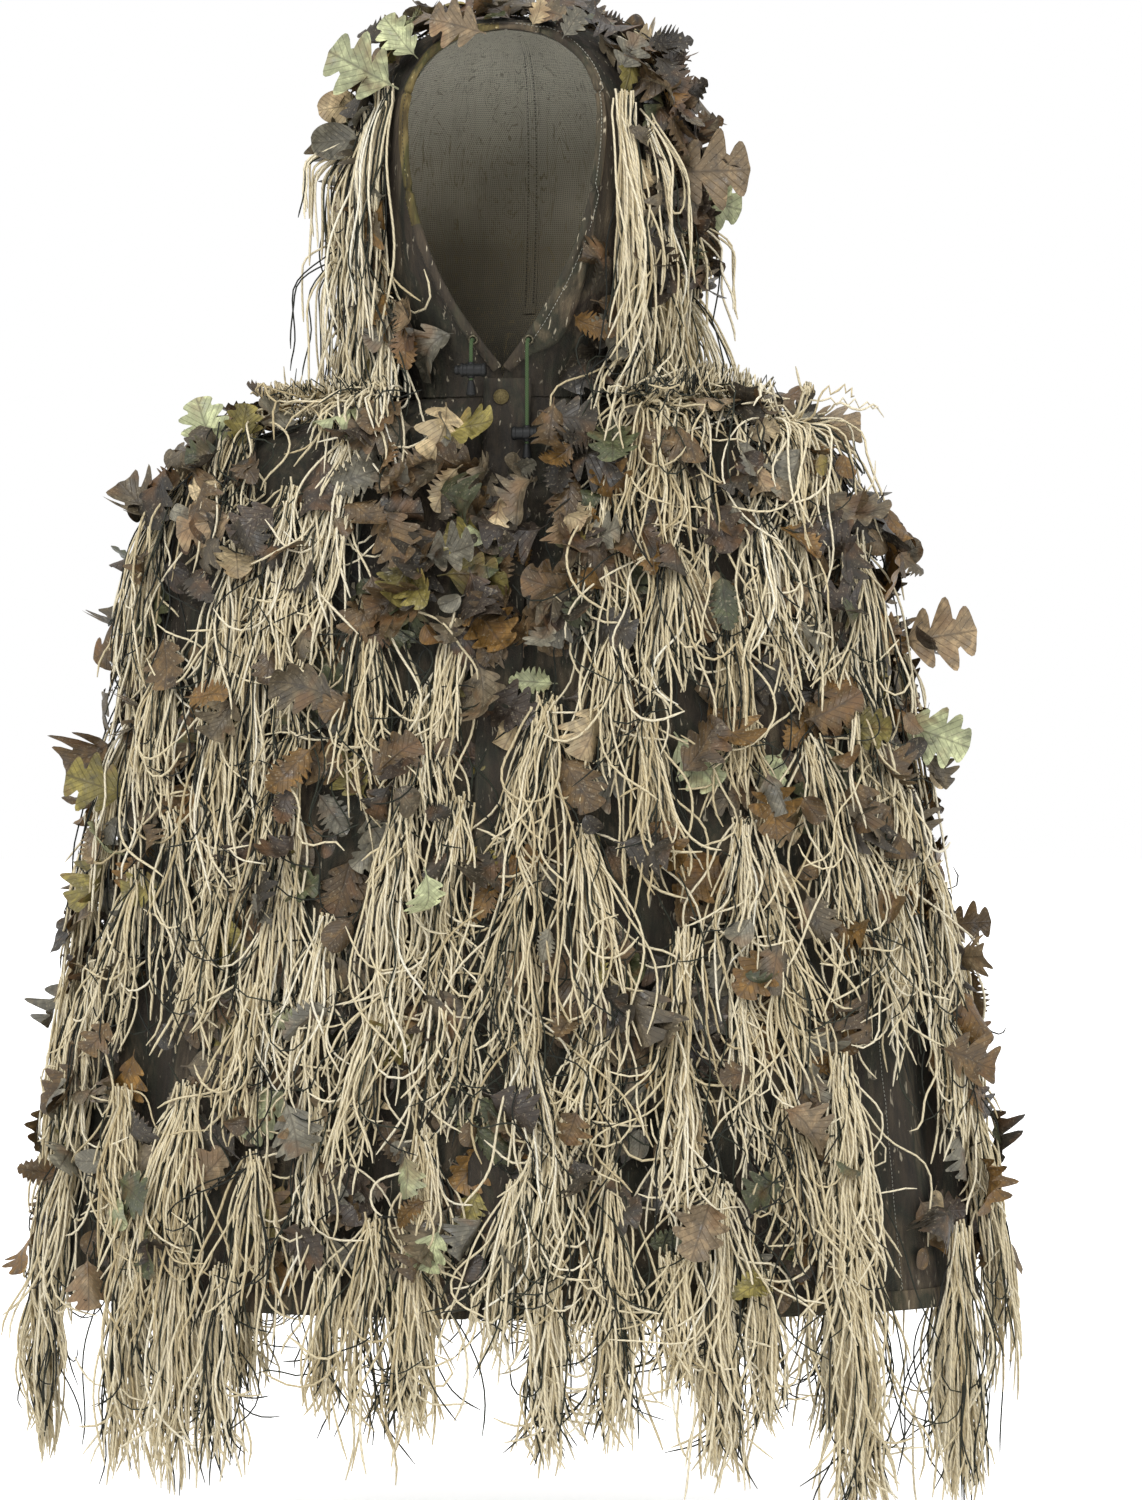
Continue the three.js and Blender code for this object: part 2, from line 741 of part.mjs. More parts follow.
function fringe([top, tip], columns, left, right) {
  const levels = levelsBetween(top, tip);
  const bottom = tuftTips(columns, tip, tip === FRINGE_TIP_Z ? 45 : 18);
  return wrap({ levels, columns, left, right, inner: fringeInner, outer: fringeOuter, bottom });
}

function addCapeFringe() {
  const besideThroat = 48;
  const leftStart = (z) => angleAtX(Math.max(besideThroat, foldX(z) + 5), z);
  const rightEnd = (z) => angleAtX(-PLACKET_COVER_X - 4, z);
  const backStart = (z) => Math.PI - leftSide(z);
  const backEnd = (z) => Math.PI + leftSide(z);
  TIERS.forEach((tier, i) => {
    addPiece(`fringe_back_${i + 1}`, fringe(tier, 20, backStart, backEnd), yarn);
    addPiece(`fringe_right_${i + 1}`, fringe(tier, 10, rightSide, rightEnd), yarn);
    addPiece(`fringe_left_${i + 1}`, fringe(tier, 8, leftStart, leftSide), yarn);
  });
  const besideFold = 45;
  const flapStart = (z) => angleAtX(PLACKET_COVER_X + 2.5, z);
  const flapEnd = (z) => angleAtX(foldX(z) - besideFold, z);
  const flapTiers = [[-228, TIERS[1][1]], TIERS[2]];
  flapTiers.forEach((tier, i) => {
    addPiece(`fringe_flap_${i + 1}`, fringe(tier, 4, flapStart, flapEnd), yarn);
  });
}

// The tufts end above the collar, lowest beside the face.
function addHoodFringe() {
  const [top, tip] = [240, 80];
  const levels = levelsBetween(top, tip, HOOD_LEVELS);
  const columns = 8;
  const zigzag = tuftTips(columns, 0, 14);
  const front = 0.9;
  const back = 2.9;
  const risesFrom = 0.2;
  const riseBehind = 40;
  const lift = (u) => riseBehind * THREE.MathUtils.smoothstep(u, risesFrom, 0.75);
  const shape = { levels, columns, inner: (v) => 4 + 2 * v, outer: (v) => 11 + 12 * v, spread: true };
  const bottom = (u) => tip + lift(u) + zigzag(u);
  const left = wrap({ ...shape, bottom, left: always(front), right: always(back) });
  const mirrored = (u) => bottom(1 - u);
  const right = wrap({ ...shape, bottom: mirrored, left: always(-back), right: always(-front) });
  addPiece('fringe_hood_left', left, yarn);
  addPiece('fringe_hood_right', right, yarn);
}

addPanels();
addHemBindings();
addPlackets();
addSnaps();
addNeckBand();
addHood();
addDrawcord('left', 1);
addDrawcord('right', -1);
addCapeFringe();
addHoodFringe();

export default suit;
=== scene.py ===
import math

import bpy
import numpy as np
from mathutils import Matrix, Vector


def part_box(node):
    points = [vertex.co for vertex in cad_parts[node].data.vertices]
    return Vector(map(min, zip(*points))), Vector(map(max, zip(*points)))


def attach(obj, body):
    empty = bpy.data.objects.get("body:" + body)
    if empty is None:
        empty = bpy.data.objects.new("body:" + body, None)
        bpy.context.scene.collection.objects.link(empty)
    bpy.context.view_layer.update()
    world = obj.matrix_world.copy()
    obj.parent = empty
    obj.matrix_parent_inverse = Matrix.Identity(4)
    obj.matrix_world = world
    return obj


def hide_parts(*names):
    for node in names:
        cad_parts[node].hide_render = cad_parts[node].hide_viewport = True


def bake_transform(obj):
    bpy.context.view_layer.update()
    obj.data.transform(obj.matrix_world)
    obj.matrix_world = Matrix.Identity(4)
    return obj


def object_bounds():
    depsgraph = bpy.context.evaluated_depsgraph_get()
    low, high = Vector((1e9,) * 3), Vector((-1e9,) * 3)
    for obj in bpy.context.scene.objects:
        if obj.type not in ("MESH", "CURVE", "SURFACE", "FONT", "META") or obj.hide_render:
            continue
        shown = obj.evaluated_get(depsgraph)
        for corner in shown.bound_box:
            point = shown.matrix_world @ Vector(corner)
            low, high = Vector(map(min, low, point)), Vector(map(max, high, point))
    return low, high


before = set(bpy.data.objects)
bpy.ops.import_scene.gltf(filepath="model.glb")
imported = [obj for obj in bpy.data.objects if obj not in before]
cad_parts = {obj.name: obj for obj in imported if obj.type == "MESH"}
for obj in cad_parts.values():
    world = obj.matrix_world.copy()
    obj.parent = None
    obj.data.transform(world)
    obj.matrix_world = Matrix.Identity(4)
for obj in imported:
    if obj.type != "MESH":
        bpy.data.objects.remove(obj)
cad_low, cad_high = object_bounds()

# ---------- sizes, in metres ----------

HEM_Z = -0.712
CROWN_Z = 0.304
DOME_BASE_Z = 0.18
DOME_POWER = 2.6
FLAP_TOP_Z = -0.056
PLACKET_HALF = 0.0137
PLACKET_COVER_X = 0.022
PANEL_EDGE_X = 0.0143
PLACKET_TOP_Z = 0.014
PLACKET_BACK = 0.0042
PLACKET_FACE = 0.0060
LINING_DEPTH = 0.0034
SNAP_HEIGHTS = (-0.0016, -0.19, -0.38, -0.57)
CORD_DIAMETER = 0.003
YARN_RADIUS = 0.00096
YARN_CLEARANCE = 0.0022
LEAF_CLEARANCE = 0.0018
THREAD_RADIUS = 0.00065
TIPS_Z = -0.872
FACE_TOP_Z = 0.292
STITCH_RADIUS = 0.0003
STITCH_PITCH = 0.0032
STITCH_LENGTH = 0.0021
VIEW_AZIMUTH = math.radians(6)
VIEW_RIGHT = np.array([math.cos(VIEW_AZIMUTH), math.sin(VIEW_AZIMUTH), 0])
VIEW_TOWARD = np.array([math.sin(VIEW_AZIMUTH), -math.cos(VIEW_AZIMUTH), 0])
UP = np.array([0, 0, 1])
FULL_TURN = 2 * math.pi

# Height, half width and half depth of the cape's sections; the hood's also have a shift back.
CAPE_SECTIONS = [
    (-0.888, 0.390, 0.222), (-0.712, 0.374, 0.205), (-0.560, 0.357, 0.186), (-0.400, 0.332, 0.162),
    (-0.240, 0.305, 0.138), (-0.150, 0.290, 0.123), (-0.100, 0.278, 0.110), (-0.060, 0.260, 0.098),
    (-0.040, 0.238, 0.093), (-0.024, 0.196, 0.0895), (-0.010, 0.130, 0.087), (0.0, 0.088, 0.0855),
]
HOOD_SECTIONS = [
    (0.0, 0.088, 0.0855, 0.0), (0.015, 0.092, 0.0835, 0.0), (0.044, 0.103, 0.093, 0.001),
    (0.100, 0.114, 0.115, 0.005), (0.180, 0.119, 0.127, 0.010),
]


# ---------- the worn surface ----------

def smooth_table(rows, heights):
    """The values between the rows of a table, smooth and without overshoot."""
    table = np.array(rows)
    x = table[:, 0]
    y = table[:, 1:]
    slope = np.diff(y, axis=0) / np.diff(x)[:, None]
    before = slope[:-1]
    after = slope[1:]
    product = before * after
    total = np.where(product > 0, before + after, 1.0)
    tangent = np.vstack([slope[:1], np.where(product > 0, 2 * product / total, 0.0), slope[-1:]])
    i = np.clip(np.searchsorted(x, heights, side="right") - 1, 0, len(x) - 2)
    width = (x[i + 1] - x[i])[:, None]
    t = np.clip((heights[:, None] - x[i][:, None]) / width, 0, 1)
    return (
        y[i] * (1 + 2 * t) * (1 - t) ** 2
        + tangent[i] * width * t * (1 - t) ** 2
        + y[i + 1] * t * t * (3 - 2 * t)
        + tangent[i + 1] * width * t * t * (t - 1)
    )


def section_grid():
    """The outline's half width, half depth and shift back on a fine grid of heights."""
    near_crown = CROWN_Z - np.geomspace(0.004, 1e-7, 80)
    z = np.concatenate([np.arange(-0.888, near_crown[0], 0.0005), near_crown])
    cape = smooth_table(CAPE_SECTIONS, z)
    cape = np.hstack([cape, np.zeros((len(z), 1))])
    hood = smooth_table(HOOD_SECTIONS, z)
    rise = np.clip((z - DOME_BASE_Z) / (CROWN_Z - DOME_BASE_Z), 0, 1)
    shrink = (1 - rise ** DOME_POWER) ** (1 / DOME_POWER)
    hood[:, :2] *= shrink[:, None]
    values = np.where(z[:, None] <= 0, cape, hood)
    return z, values, np.gradient(values, z, axis=0)


GRID_Z, GRID_VALUES, GRID_SLOPES = section_grid()


def section(z):
    """Half width, half depth, shift back, and the slope of each with height."""
    values = [np.interp(z, GRID_Z, GRID_VALUES[:, k]) for k in range(3)]
    slopes = [np.interp(z, GRID_Z, GRID_SLOPES[:, k]) for k in range(3)]
    return values + slopes


def unit(v):
    """Vectors made one long."""
    return v / np.maximum(np.linalg.norm(v, axis=-1, keepdims=True), 1e-9)


def surface(angle, z, offset=0.0):
    """Points of the worn surface moved outward by offset, and its outward normals."""
    angle, z, offset = np.broadcast_arrays(angle, z, offset)
    a, b, c, da, db, dc = section(z)
    s = np.sin(angle)
    k = np.cos(angle)
    normal = unit(np.stack([b * s, -a * k, a * k * (dc - db * k) - b * s * da * s], axis=-1))
    return np.stack([a * s, c - b * k, z], axis=-1) + normal * offset[..., None], normal


def outside(points):
    """How far points are outside the worn surface, and which way is out."""
    z = points[:, 2]
    a, b, c, da, db, dc = section(np.clip(z, GRID_Z[0], DOME_BASE_Z))
    x = points[:, 0] / a
    y = (points[:, 1] - c) / b
    r = np.maximum(np.hypot(x, y), 1e-4)
    gx = x / (a * r)
    gy = y / (b * r)
    gz = -(x * x * da / a + y * y * db / b + y * dc / b) / r
    rise = np.maximum(z - DOME_BASE_Z, 0) / (CROWN_Z - DOME_BASE_Z)
    value = (r ** DOME_POWER + rise ** DOME_POWER) ** (1 / DOME_POWER)
    share = (r / value) ** (DOME_POWER - 1)
    lift = (rise / value) ** (DOME_POWER - 1) / (CROWN_Z - DOME_BASE_Z)
    gradient = np.stack([gx * share, gy * share, gz * share + lift], axis=-1)
    size = np.linalg.norm(gradient, axis=1)
    return (value - 1) / size, gradient / size[:, None]


def clear_of_cloth(points, least, lowest=HEM_Z):
    """Points moved out until they are at least that far from the worn surface, above the hem."""
    gap, out = outside(points)
    push = np.maximum(least - gap, 0) * (points[:, 2] > lowest)
    return points + out * push[:, None]


def angle_at_x(x, z):
    """The angle of the front surface point that is x to the side of the middle."""
    return np.arcsin(np.clip(x / section(z)[0], -1, 1))


def angle_seen_at(across, z, behind=False):
    """The angle of the surface point that is seen that far across the view, in front or behind."""
    a, b, c = section(z)[:3]
    wide = a * math.cos(VIEW_AZIMUTH)
    deep = b * math.sin(VIEW_AZIMUTH)
    turned = math.atan2(deep, wide)
    reach = np.arcsin(np.clip((across - c * math.sin(VIEW_AZIMUTH)) / math.hypot(wide, deep), -1, 1))
    return turned + (math.pi - reach if behind else reach)


def wrapped(angle):
    """The same direction as an angle from -pi to pi; 0 is the front."""
    return (angle + math.pi) % FULL_TURN - math.pi


def level_way(normal):
    """The level direction along the surface, given its outward normals."""
    return unit(np.stack([-normal[..., 1], normal[..., 0], np.zeros_like(normal[..., 0])], axis=-1))


def smoothstep(x, low, high):
    """From 0 at low to 1 at high, with level ends."""
    t = np.clip((x - low) / (high - low), 0, 1)
    return t * t * (3 - 2 * t)


def ripple(angle, z):
    """Small wrinkles of the cloth, from 0 to 1."""
    value = (
        np.sin(31 * angle + 40 * z + 1.7 * np.sin(9 * angle + 21 * z))
        + 0.7 * np.sin(53 * angle - 66 * z + 2.1 * np.sin(30 * z))
        + 0.5 * np.sin(88 * angle + 120 * z)
    )
    return 0.5 + value / 4.4


def hang(angle, z):
    """How far the cape's cloth lies inside the smooth worn surface: folds that deepen to the hem."""
    sway = 0.35 * np.sin(7 * z + 3 * angle)
    waves = 0.5 + 0.5 * np.sin(17 * angle + 1.4 * np.sin(3 * angle + 0.6) + sway)
    beside_placket = 1 - np.exp(-((np.sin(angle) / 0.16) ** 2)) * (np.cos(angle) > 0)
    depth = 0.013 * smoothstep(-z, 0.06, 0.62) * waves + 0.0022 * ripple(angle, z)
    return depth * beside_placket + 0.0003


# ---------- meshes ----------

def make_mesh(name, points, faces, material, smooth=True, uv=None, values=None):
    """An object from arrays. uv has one row for each face corner; values holds named point values."""
    mesh = bpy.data.meshes.new(name)
    points = np.ascontiguousarray(points, dtype=np.float32).reshape(-1, 3)
    faces = np.ascontiguousarray(faces, dtype=np.int32)
    corners = faces.shape[1]
    mesh.vertices.add(len(points))
    mesh.vertices.foreach_set("co", points.ravel())
    mesh.loops.add(faces.size)
    mesh.loops.foreach_set("vertex_index", faces.ravel())
    mesh.polygons.add(len(faces))
    mesh.polygons.foreach_set("loop_start", np.arange(0, faces.size, corners, dtype=np.int32))
    mesh.polygons.foreach_set("use_smooth", np.full(len(faces), smooth))
    if uv is not None:
        layer = mesh.uv_layers.new(name="Pattern")
        layer.data.foreach_set("uv", np.ascontiguousarray(uv, dtype=np.float32).ravel())
    for key, data in (values or {}).items():
        data = np.ascontiguousarray(data, dtype=np.float32)
        if data.ndim == 1:
            mesh.attributes.new(key, "FLOAT", "POINT").data.foreach_set("value", data)
        else:
            mesh.attributes.new(key, "FLOAT_VECTOR", "POINT").data.foreach_set("vector", data.ravel())
    mesh.update(calc_edges=True)
    mesh.materials.append(material)
    made = bpy.data.objects.new(name, mesh)
    bpy.context.scene.collection.objects.link(made)
    return made


def grid_faces(rows, columns, around=False):
    """Quads over a grid of points, closed round the columns if around is set."""
    last = columns if around else columns - 1
    r, c = np.meshgrid(np.arange(rows - 1), np.arange(last), indexing="ij")
    nxt = (c + 1) % columns
    return np.stack(
        [r * columns + c, (r + 1) * columns + c, (r + 1) * columns + nxt, r * columns + nxt], axis=-1
    ).reshape(-1, 4)


def grid_mesh(name, points, material, around=False):
    """A sheet over a grid of points, with its pattern laid out in metres along rows and columns."""
    rows, columns = points.shape[:2]
    faces = grid_faces(rows, columns, around)
    along = np.cumsum(np.linalg.norm(np.diff(points, axis=0, prepend=points[:1]), axis=2), axis=0)
    across = np.cumsum(np.linalg.norm(np.diff(points, axis=1, prepend=points[:, :1]), axis=2), axis=1)
    uv = np.stack([across, -along], axis=-1).reshape(-1, 2)[faces.ravel()]
    return make_mesh(name, points, faces, material, uv=uv)


def tube_mesh(name, lines, radii, sides, material, values=None):
    """Tubes along many lines of the same number of points. values has one number for each line."""
    count, rings = lines.shape[:2]
    tangent = unit(np.gradient(lines, axis=1))
    sideways = np.empty_like(lines)
    current = np.where(np.abs(tangent[:, 0, :1]) < 0.8, [[1.0, 0, 0]], [[0, 1.0, 0]])
    for k in range(rings):
        t = tangent[:, k]
        current = unit(current - np.sum(current * t, axis=1, keepdims=True) * t)
        sideways[:, k] = current
    other = np.cross(tangent, sideways)
    turn = np.arange(sides) * FULL_TURN / sides
    ring = (
        sideways[:, :, None, :] * np.cos(turn)[:, None]
        + other[:, :, None, :] * np.sin(turn)[:, None]
    )
    points = lines[:, :, None, :] + ring * radii[:, :, None, None]
    one = grid_faces(rings, sides, around=True)[:, ::-1]
    faces = (one[None] + (np.arange(count) * rings * sides)[:, None, None]).reshape(-1, 4)
    length = np.cumsum(np.linalg.norm(np.diff(lines, axis=1, prepend=lines[:, :1]), axis=2), axis=1)
    column = one % sides
    wraps = column.max(axis=1, keepdims=True) - column.min(axis=1, keepdims=True) > 1
    u = np.where(wraps & (column == 0), sides, column) / sides
    v = length[:, one // sides]
    uv = np.stack([np.broadcast_to(u, v.shape), v], axis=-1).reshape(-1, 2)
    per_point = {k: np.repeat(data, rings * sides) for k, data in (values or {}).items()}
    return make_mesh(name, points, faces, material, uv=uv, values=per_point)


def lathe_mesh(name, profile, place, axis, material, sides=40):
    """A turned piece: profile is (radius, distance along axis) from place."""
    axis = unit(np.array(axis, float))
    side = unit(np.cross(axis, [0.3, 0.2, 1.0] if abs(axis[2]) < 0.9 else [1.0, 0.1, 0]))
    other = np.cross(axis, side)
    turn = np.arange(sides) * FULL_TURN / sides
    ring = side * np.cos(turn)[:, None] + other * np.sin(turn)[:, None]
    profile = np.array(profile, float)
    points = np.array(place) + ring[None] * profile[:, :1, None] + axis * profile[:, 1:, None]
    faces = grid_faces(len(profile), sides, around=True)[:, ::-1]
    return make_mesh(name, points, faces, material)


def rounded(profile, steps=4):
    """The same profile with each inner corner cut to a small curve."""
    points = np.array(profile, float)
    out = [points[0]]
    for before, corner, after in zip(points[:-2], points[1:-1], points[2:]):
        reach = min(0.0004, 0.4 * np.linalg.norm(corner - before), 0.4 * np.linalg.norm(after - corner))
        start = corner + unit(before - corner) * reach
        end = corner + unit(after - corner) * reach
        for t in np.linspace(0, 1, steps):
            out.append(start * (1 - t) ** 2 + corner * 2 * t * (1 - t) + end * t * t)
    out.append(points[-1])
    return out


# ---------- materials ----------

def srgb(r, g, b):
    """A linear colour from a display colour of 0 to 255."""
    linear = []
    for value in (r, g, b):
        share = value / 255
        linear.append(share / 12.92 if share <= 0.04045 else ((share + 0.055) / 1.055) ** 2.4)
    return (*linear, 1.0)


def grey(value):
    return (value, value, value, 1.0)


class Recipe:
    """A material with a Principled surface, and short ways to add nodes to it."""

    def __init__(self, name, roughness=0.9, metallic=0.0, color=None):
        self.material = bpy.data.materials.new(name)
        self.material.use_nodes = True
        self.tree = self.material.node_tree
        self.surface = self.tree.nodes["Principled BSDF"]
        self.set("Roughness", roughness)
        self.set("Metallic", metallic)
        if color:
            self.set("Base Color", color)

    def set(self, socket, value):
        """Sets one of the surface's sockets, to a value or to a node's output."""
        if isinstance(value, bpy.types.NodeSocket):
            self.tree.links.new(value, self.surface.inputs[socket])
        else:
            self.surface.inputs[socket].default_value = value

    def node(self, kind, output=0, inputs=None, **settings):
        """Adds a node and returns one of its outputs."""
        made = self.tree.nodes.new(kind)
        for key, value in settings.items():
            setattr(made, key, value)
        for key, value in (inputs or {}).items():
            if isinstance(value, bpy.types.NodeSocket):
                self.tree.links.new(value, made.inputs[key])
            else:
                made.inputs[key].default_value = value
        return made.outputs[output]

    def coordinates(self, stretch=(1, 1, 1), source="Object"):
        """Object places, or the pattern laid out over the mesh, each axis times its stretch."""
        made = self.tree.nodes.new("ShaderNodeTexCoord")
        return self.node("ShaderNodeMapping", inputs={"Vector": made.outputs[source], "Scale": stretch})

    def pattern_axes(self):
        """The two axes of the pattern laid out over the mesh."""
        inputs = {"Vector": self.coordinates(source="UV")}
        return self.node("ShaderNodeSeparateXYZ", inputs=inputs).node.outputs[:2]

    def noise(self, vector, scale, detail=4.0, rough=0.6, distortion=0.0):
        inputs = {
            "Vector": vector, "Scale": scale, "Detail": detail,
            "Roughness": rough, "Distortion": distortion,
        }
        return self.node("ShaderNodeTexNoise", inputs=inputs)

    def ramp(self, value, stops, interpolation="LINEAR"):
        socket = self.node("ShaderNodeValToRGB", inputs={"Fac": value})
        elements = socket.node.color_ramp
        elements.interpolation = interpolation
        while len(elements.elements) < len(stops):
            elements.elements.new(0.5)
        for element, (position, color) in zip(elements.elements, stops):
            element.position = position
            element.color = color
        return socket

    def greys(self, value, *stops):
        """A ramp of greys."""
        return self.ramp(value, [(position, grey(tone)) for position, tone in stops])

    def span(self, value, low=0.0, high=1.0, to_low=0.0, to_high=1.0):
        """A value from low to high moved to the span from to_low to to_high."""
        inputs = {"Value": value, 1: low, 2: high, 3: to_low, 4: to_high}
        return self.node("ShaderNodeMapRange", inputs=inputs)

    def math(self, operation, a, b=0.0):
        return self.node("ShaderNodeMath", inputs={0: a, 1: b}, operation=operation)

    def mix(self, share, a, b, blend="MIX"):
        return self.node(
            "ShaderNodeMix", output=2, inputs={0: share, 6: a, 7: b}, data_type="RGBA", blend_type=blend
        )

    def bump(self, height, distance, strength=1.0):
        inputs = {"Height": height, "Distance": distance, "Strength": strength}
        self.set("Normal", self.node("ShaderNodeBump", inputs=inputs))


def yarn_material():
    """Twisted yarn. Each strand's tone picks black, or one of the creams, with painted shade in the grooves
    between its plies.
    """
    recipe = Recipe("jute_yarn", roughness=0.93)
    tone = recipe.node("ShaderNodeAttribute", output=2, attribute_name="tone")
    color = recipe.ramp(tone, [
        (0.0, srgb(20, 22, 16)),
        (0.10, srgb(44, 48, 34)),
        (0.12, srgb(190, 172, 132)),
        (0.45, srgb(226, 212, 176)),
        (0.8, srgb(240, 229, 200)),
        (1.0, srgb(250, 244, 224)),
    ])
    around, along = recipe.pattern_axes()
    turns = recipe.math("MULTIPLY", along, 1 / 0.0075)
    phase = recipe.math("ADD", turns, around)
    ply = recipe.math("PINGPONG", recipe.math("MULTIPLY", phase, 2.0), 1.0)
    fibre = recipe.noise(recipe.coordinates(), 900.0, 2.0)
    # Painted shade: the colour is darkened towards the grooves between the plies.
    color = recipe.mix(0.8, color, recipe.greys(ply, (0.0, 0.55), (0.35, 1.0)), "MULTIPLY")
    color = recipe.mix(0.35, color, recipe.greys(fibre, (0.3, 0.6), (0.7, 1.0)), "MULTIPLY")
    recipe.set("Base Color", color)
    recipe.bump(ply, 0.0004, 0.7)
    return recipe.material


def camo_material(name, light=1.0, olive=0.0):
    """Printed bark camouflage on a matt woven cloth."""
    recipe = Recipe(name, roughness=0.88)
    patches = recipe.noise(recipe.coordinates((1, 1, 0.32)), 17.0, 5.0, 0.62, 0.9)

    def tint(r, g, b):
        return srgb(*[min(255, v * light) for v in (r + 14 * olive, g + 12 * olive, b - 12 * olive)])

    color = recipe.ramp(patches, [
        (0.28, tint(24, 22, 18)),
        (0.42, tint(52, 44, 33)),
        (0.50, tint(40, 40, 28)),
        (0.58, tint(80, 70, 54)),
        (0.66, tint(50, 40, 30)),
        (0.78, tint(112, 104, 84)),
    ])
    bark = recipe.noise(recipe.coordinates((1, 1, 0.10)), 170.0, 3.0, 0.7, 0.4)
    streak = recipe.greys(bark, (0.40, 0.45), (0.56, 1.0), (0.70, 1.6))
    color = recipe.mix(0.75, color, streak, "MULTIPLY")
    fleck = recipe.noise(recipe.coordinates((1, 1, 0.3)), 240.0, 2.0, 0.5, 0.8)
    color = recipe.mix(recipe.greys(fleck, (0.66, 0.0), (0.72, 0.75)), color, tint(170, 160, 138))
    recipe.set("Base Color", color)
    weave = recipe.noise(recipe.coordinates(), 1400.0, 1.0, 0.5)
    crease = recipe.noise(recipe.coordinates((1, 1, 0.4)), 42.0, 3.0, 0.55, 0.6)
    height = recipe.math("ADD", recipe.math("MULTIPLY", crease, 4.0), weave)
    recipe.bump(height, 0.0009, 0.8)
    return recipe.material


def mesh_material():
    """Fine mesh cloth with a faint grass print, lighter where the crown lets light through."""
    recipe = Recipe("mesh_lining", roughness=0.95)
    threads = []
    for axis in recipe.pattern_axes():
        threads.append(recipe.math("SINE", recipe.math("MULTIPLY", axis, FULL_TURN / 0.0017)))
    weave = recipe.math("MAXIMUM", *threads)
    place = recipe.coordinates()
    height = recipe.node("ShaderNodeSeparateXYZ", output=2, inputs={"Vector": place})
    base = recipe.ramp(recipe.span(height, 0.03, 0.27), [
        (0.0, srgb(62, 58, 48)), (0.4, srgb(116, 109, 92)), (0.7, srgb(184, 178, 160)),
        (1.0, srgb(255, 252, 236)),
    ])
    blur = recipe.noise(place, 11.0, 3.0, 0.5, 0.6)
    base = recipe.mix(0.5, base, recipe.greys(blur, (0.3, 0.62), (0.7, 1.25)), "MULTIPLY")
    grass = recipe.noise(recipe.coordinates((1.0, 1.0, 0.14)), 46.0, 2.0, 0.5, 3.4)
    lines = recipe.greys(
        grass, (0.475, 0.0), (0.490, 0.75), (0.505, 0.0), (0.595, 0.0), (0.608, 0.6), (0.620, 0.0)
    )
    base = recipe.mix(lines, base, srgb(116, 104, 74))
    holes = recipe.greys(weave, (0.1, 0.42), (0.62, 1.0))
    recipe.set("Base Color", recipe.mix(0.85, base, holes, "MULTIPLY"))
    recipe.bump(weave, 0.0003, 0.6)
    return recipe.material


def leaf_material():
    """Cut cloth leaves. Each leaf brings its own colour; veins and blotches are printed on it."""
    recipe = Recipe("leaf_cloth", roughness=0.72)
    tint = recipe.node("ShaderNodeAttribute", output=0, attribute_name="leaf_tint")
    across, along = recipe.pattern_axes()
    side = recipe.math("ABSOLUTE", across)
    rib = recipe.greys(side, (0.0, 1.0), (0.022, 0.0))
    rise = recipe.math("MULTIPLY", along, 9.0)
    slant = recipe.math("SUBTRACT", rise, recipe.math("MULTIPLY", side, 10.0))
    veins = recipe.greys(recipe.math("PINGPONG", slant, 0.5), (0.0, 0.8), (0.09, 0.0))
    lines = recipe.math("MAXIMUM", rib, veins)
    place = recipe.coordinates()
    blotch = recipe.noise(place, 75.0, 4.0, 0.65, 0.7)
    fleck = recipe.noise(place, 420.0, 2.0, 0.6, 0.4)
    warm = recipe.noise(place, 38.0, 2.0, 0.5, 0.3)
    cloud = recipe.greys(blotch, (0.30, 0.28), (0.42, 0.8), (0.52, 1.0), (0.64, 1.9))
    color = recipe.mix(0.9, tint, cloud, "MULTIPLY")
    color = recipe.mix(recipe.greys(fleck, (0.60, 0.0), (0.68, 0.4)), color, srgb(168, 156, 130))
    color = recipe.mix(recipe.greys(warm, (0.55, 0.0), (0.7, 0.45)), color, srgb(120, 84, 48))
    color = recipe.mix(recipe.math("MULTIPLY", lines, 0.55), color, srgb(46, 36, 26))
    recipe.set("Base Color", color)
    recipe.set("Roughness", recipe.span(blotch, 0.35, 0.65, 0.34, 0.7))
    recipe.bump(recipe.math("ADD", recipe.math("MULTIPLY", lines, -0.6), blotch), 0.0008, 0.7)
    return recipe.material


def worn_metal(name, color, worn, roughness):
    """Metal that is darker in its scratches."""
    recipe = Recipe(name, roughness=roughness, metallic=1.0)
    scratch = recipe.noise(recipe.coordinates(), 900.0, 5.0, 0.7)
    wear = recipe.greys(scratch, (0.38, 1.0), (0.62, 0.0))
    recipe.set("Base Color", recipe.mix(wear, color, worn))
    recipe.set("Roughness", recipe.span(scratch, to_low=roughness - 0.1, to_high=roughness + 0.18))
    recipe.bump(scratch, 0.0001, 0.4)
    return recipe.material


def plastic_material():
    """Dark moulded plastic with a fine grain."""
    recipe = Recipe("black_plastic", roughness=0.5, color=srgb(15, 16, 16))
    recipe.set("Specular IOR Level", 0.3)
    grain = recipe.noise(recipe.coordinates(), 1500.0, 3.0)
    recipe.set("Roughness", recipe.span(grain, to_low=0.42, to_high=0.62))
    recipe.bump(grain, 0.0001, 0.3)
    return recipe.material


def cord_material(name, color):
    """Braided cord: slanting strands both ways round it, with painted shade in the grooves between them."""
    recipe = Recipe(name, roughness=0.85)
    around, along = recipe.pattern_axes()
    around = recipe.math("MULTIPLY", around, 4.0)
    along = recipe.math("MULTIPLY", along, 1 / 0.0018)
    first = recipe.math("PINGPONG", recipe.math("ADD", around, along), 0.5)
    second = recipe.math("PINGPONG", recipe.math("SUBTRACT", around, along), 0.5)
    braid = recipe.math("ADD", first, second)
    # Painted shade: a darker copy of the colour for the grooves between the strands.
    dark = tuple(v * 0.35 for v in color[:3]) + (1.0,)
    recipe.set("Base Color", recipe.ramp(braid, [(0.15, dark), (0.6, color)]))
    recipe.bump(braid, 0.0004, 0.9)
    return recipe.material


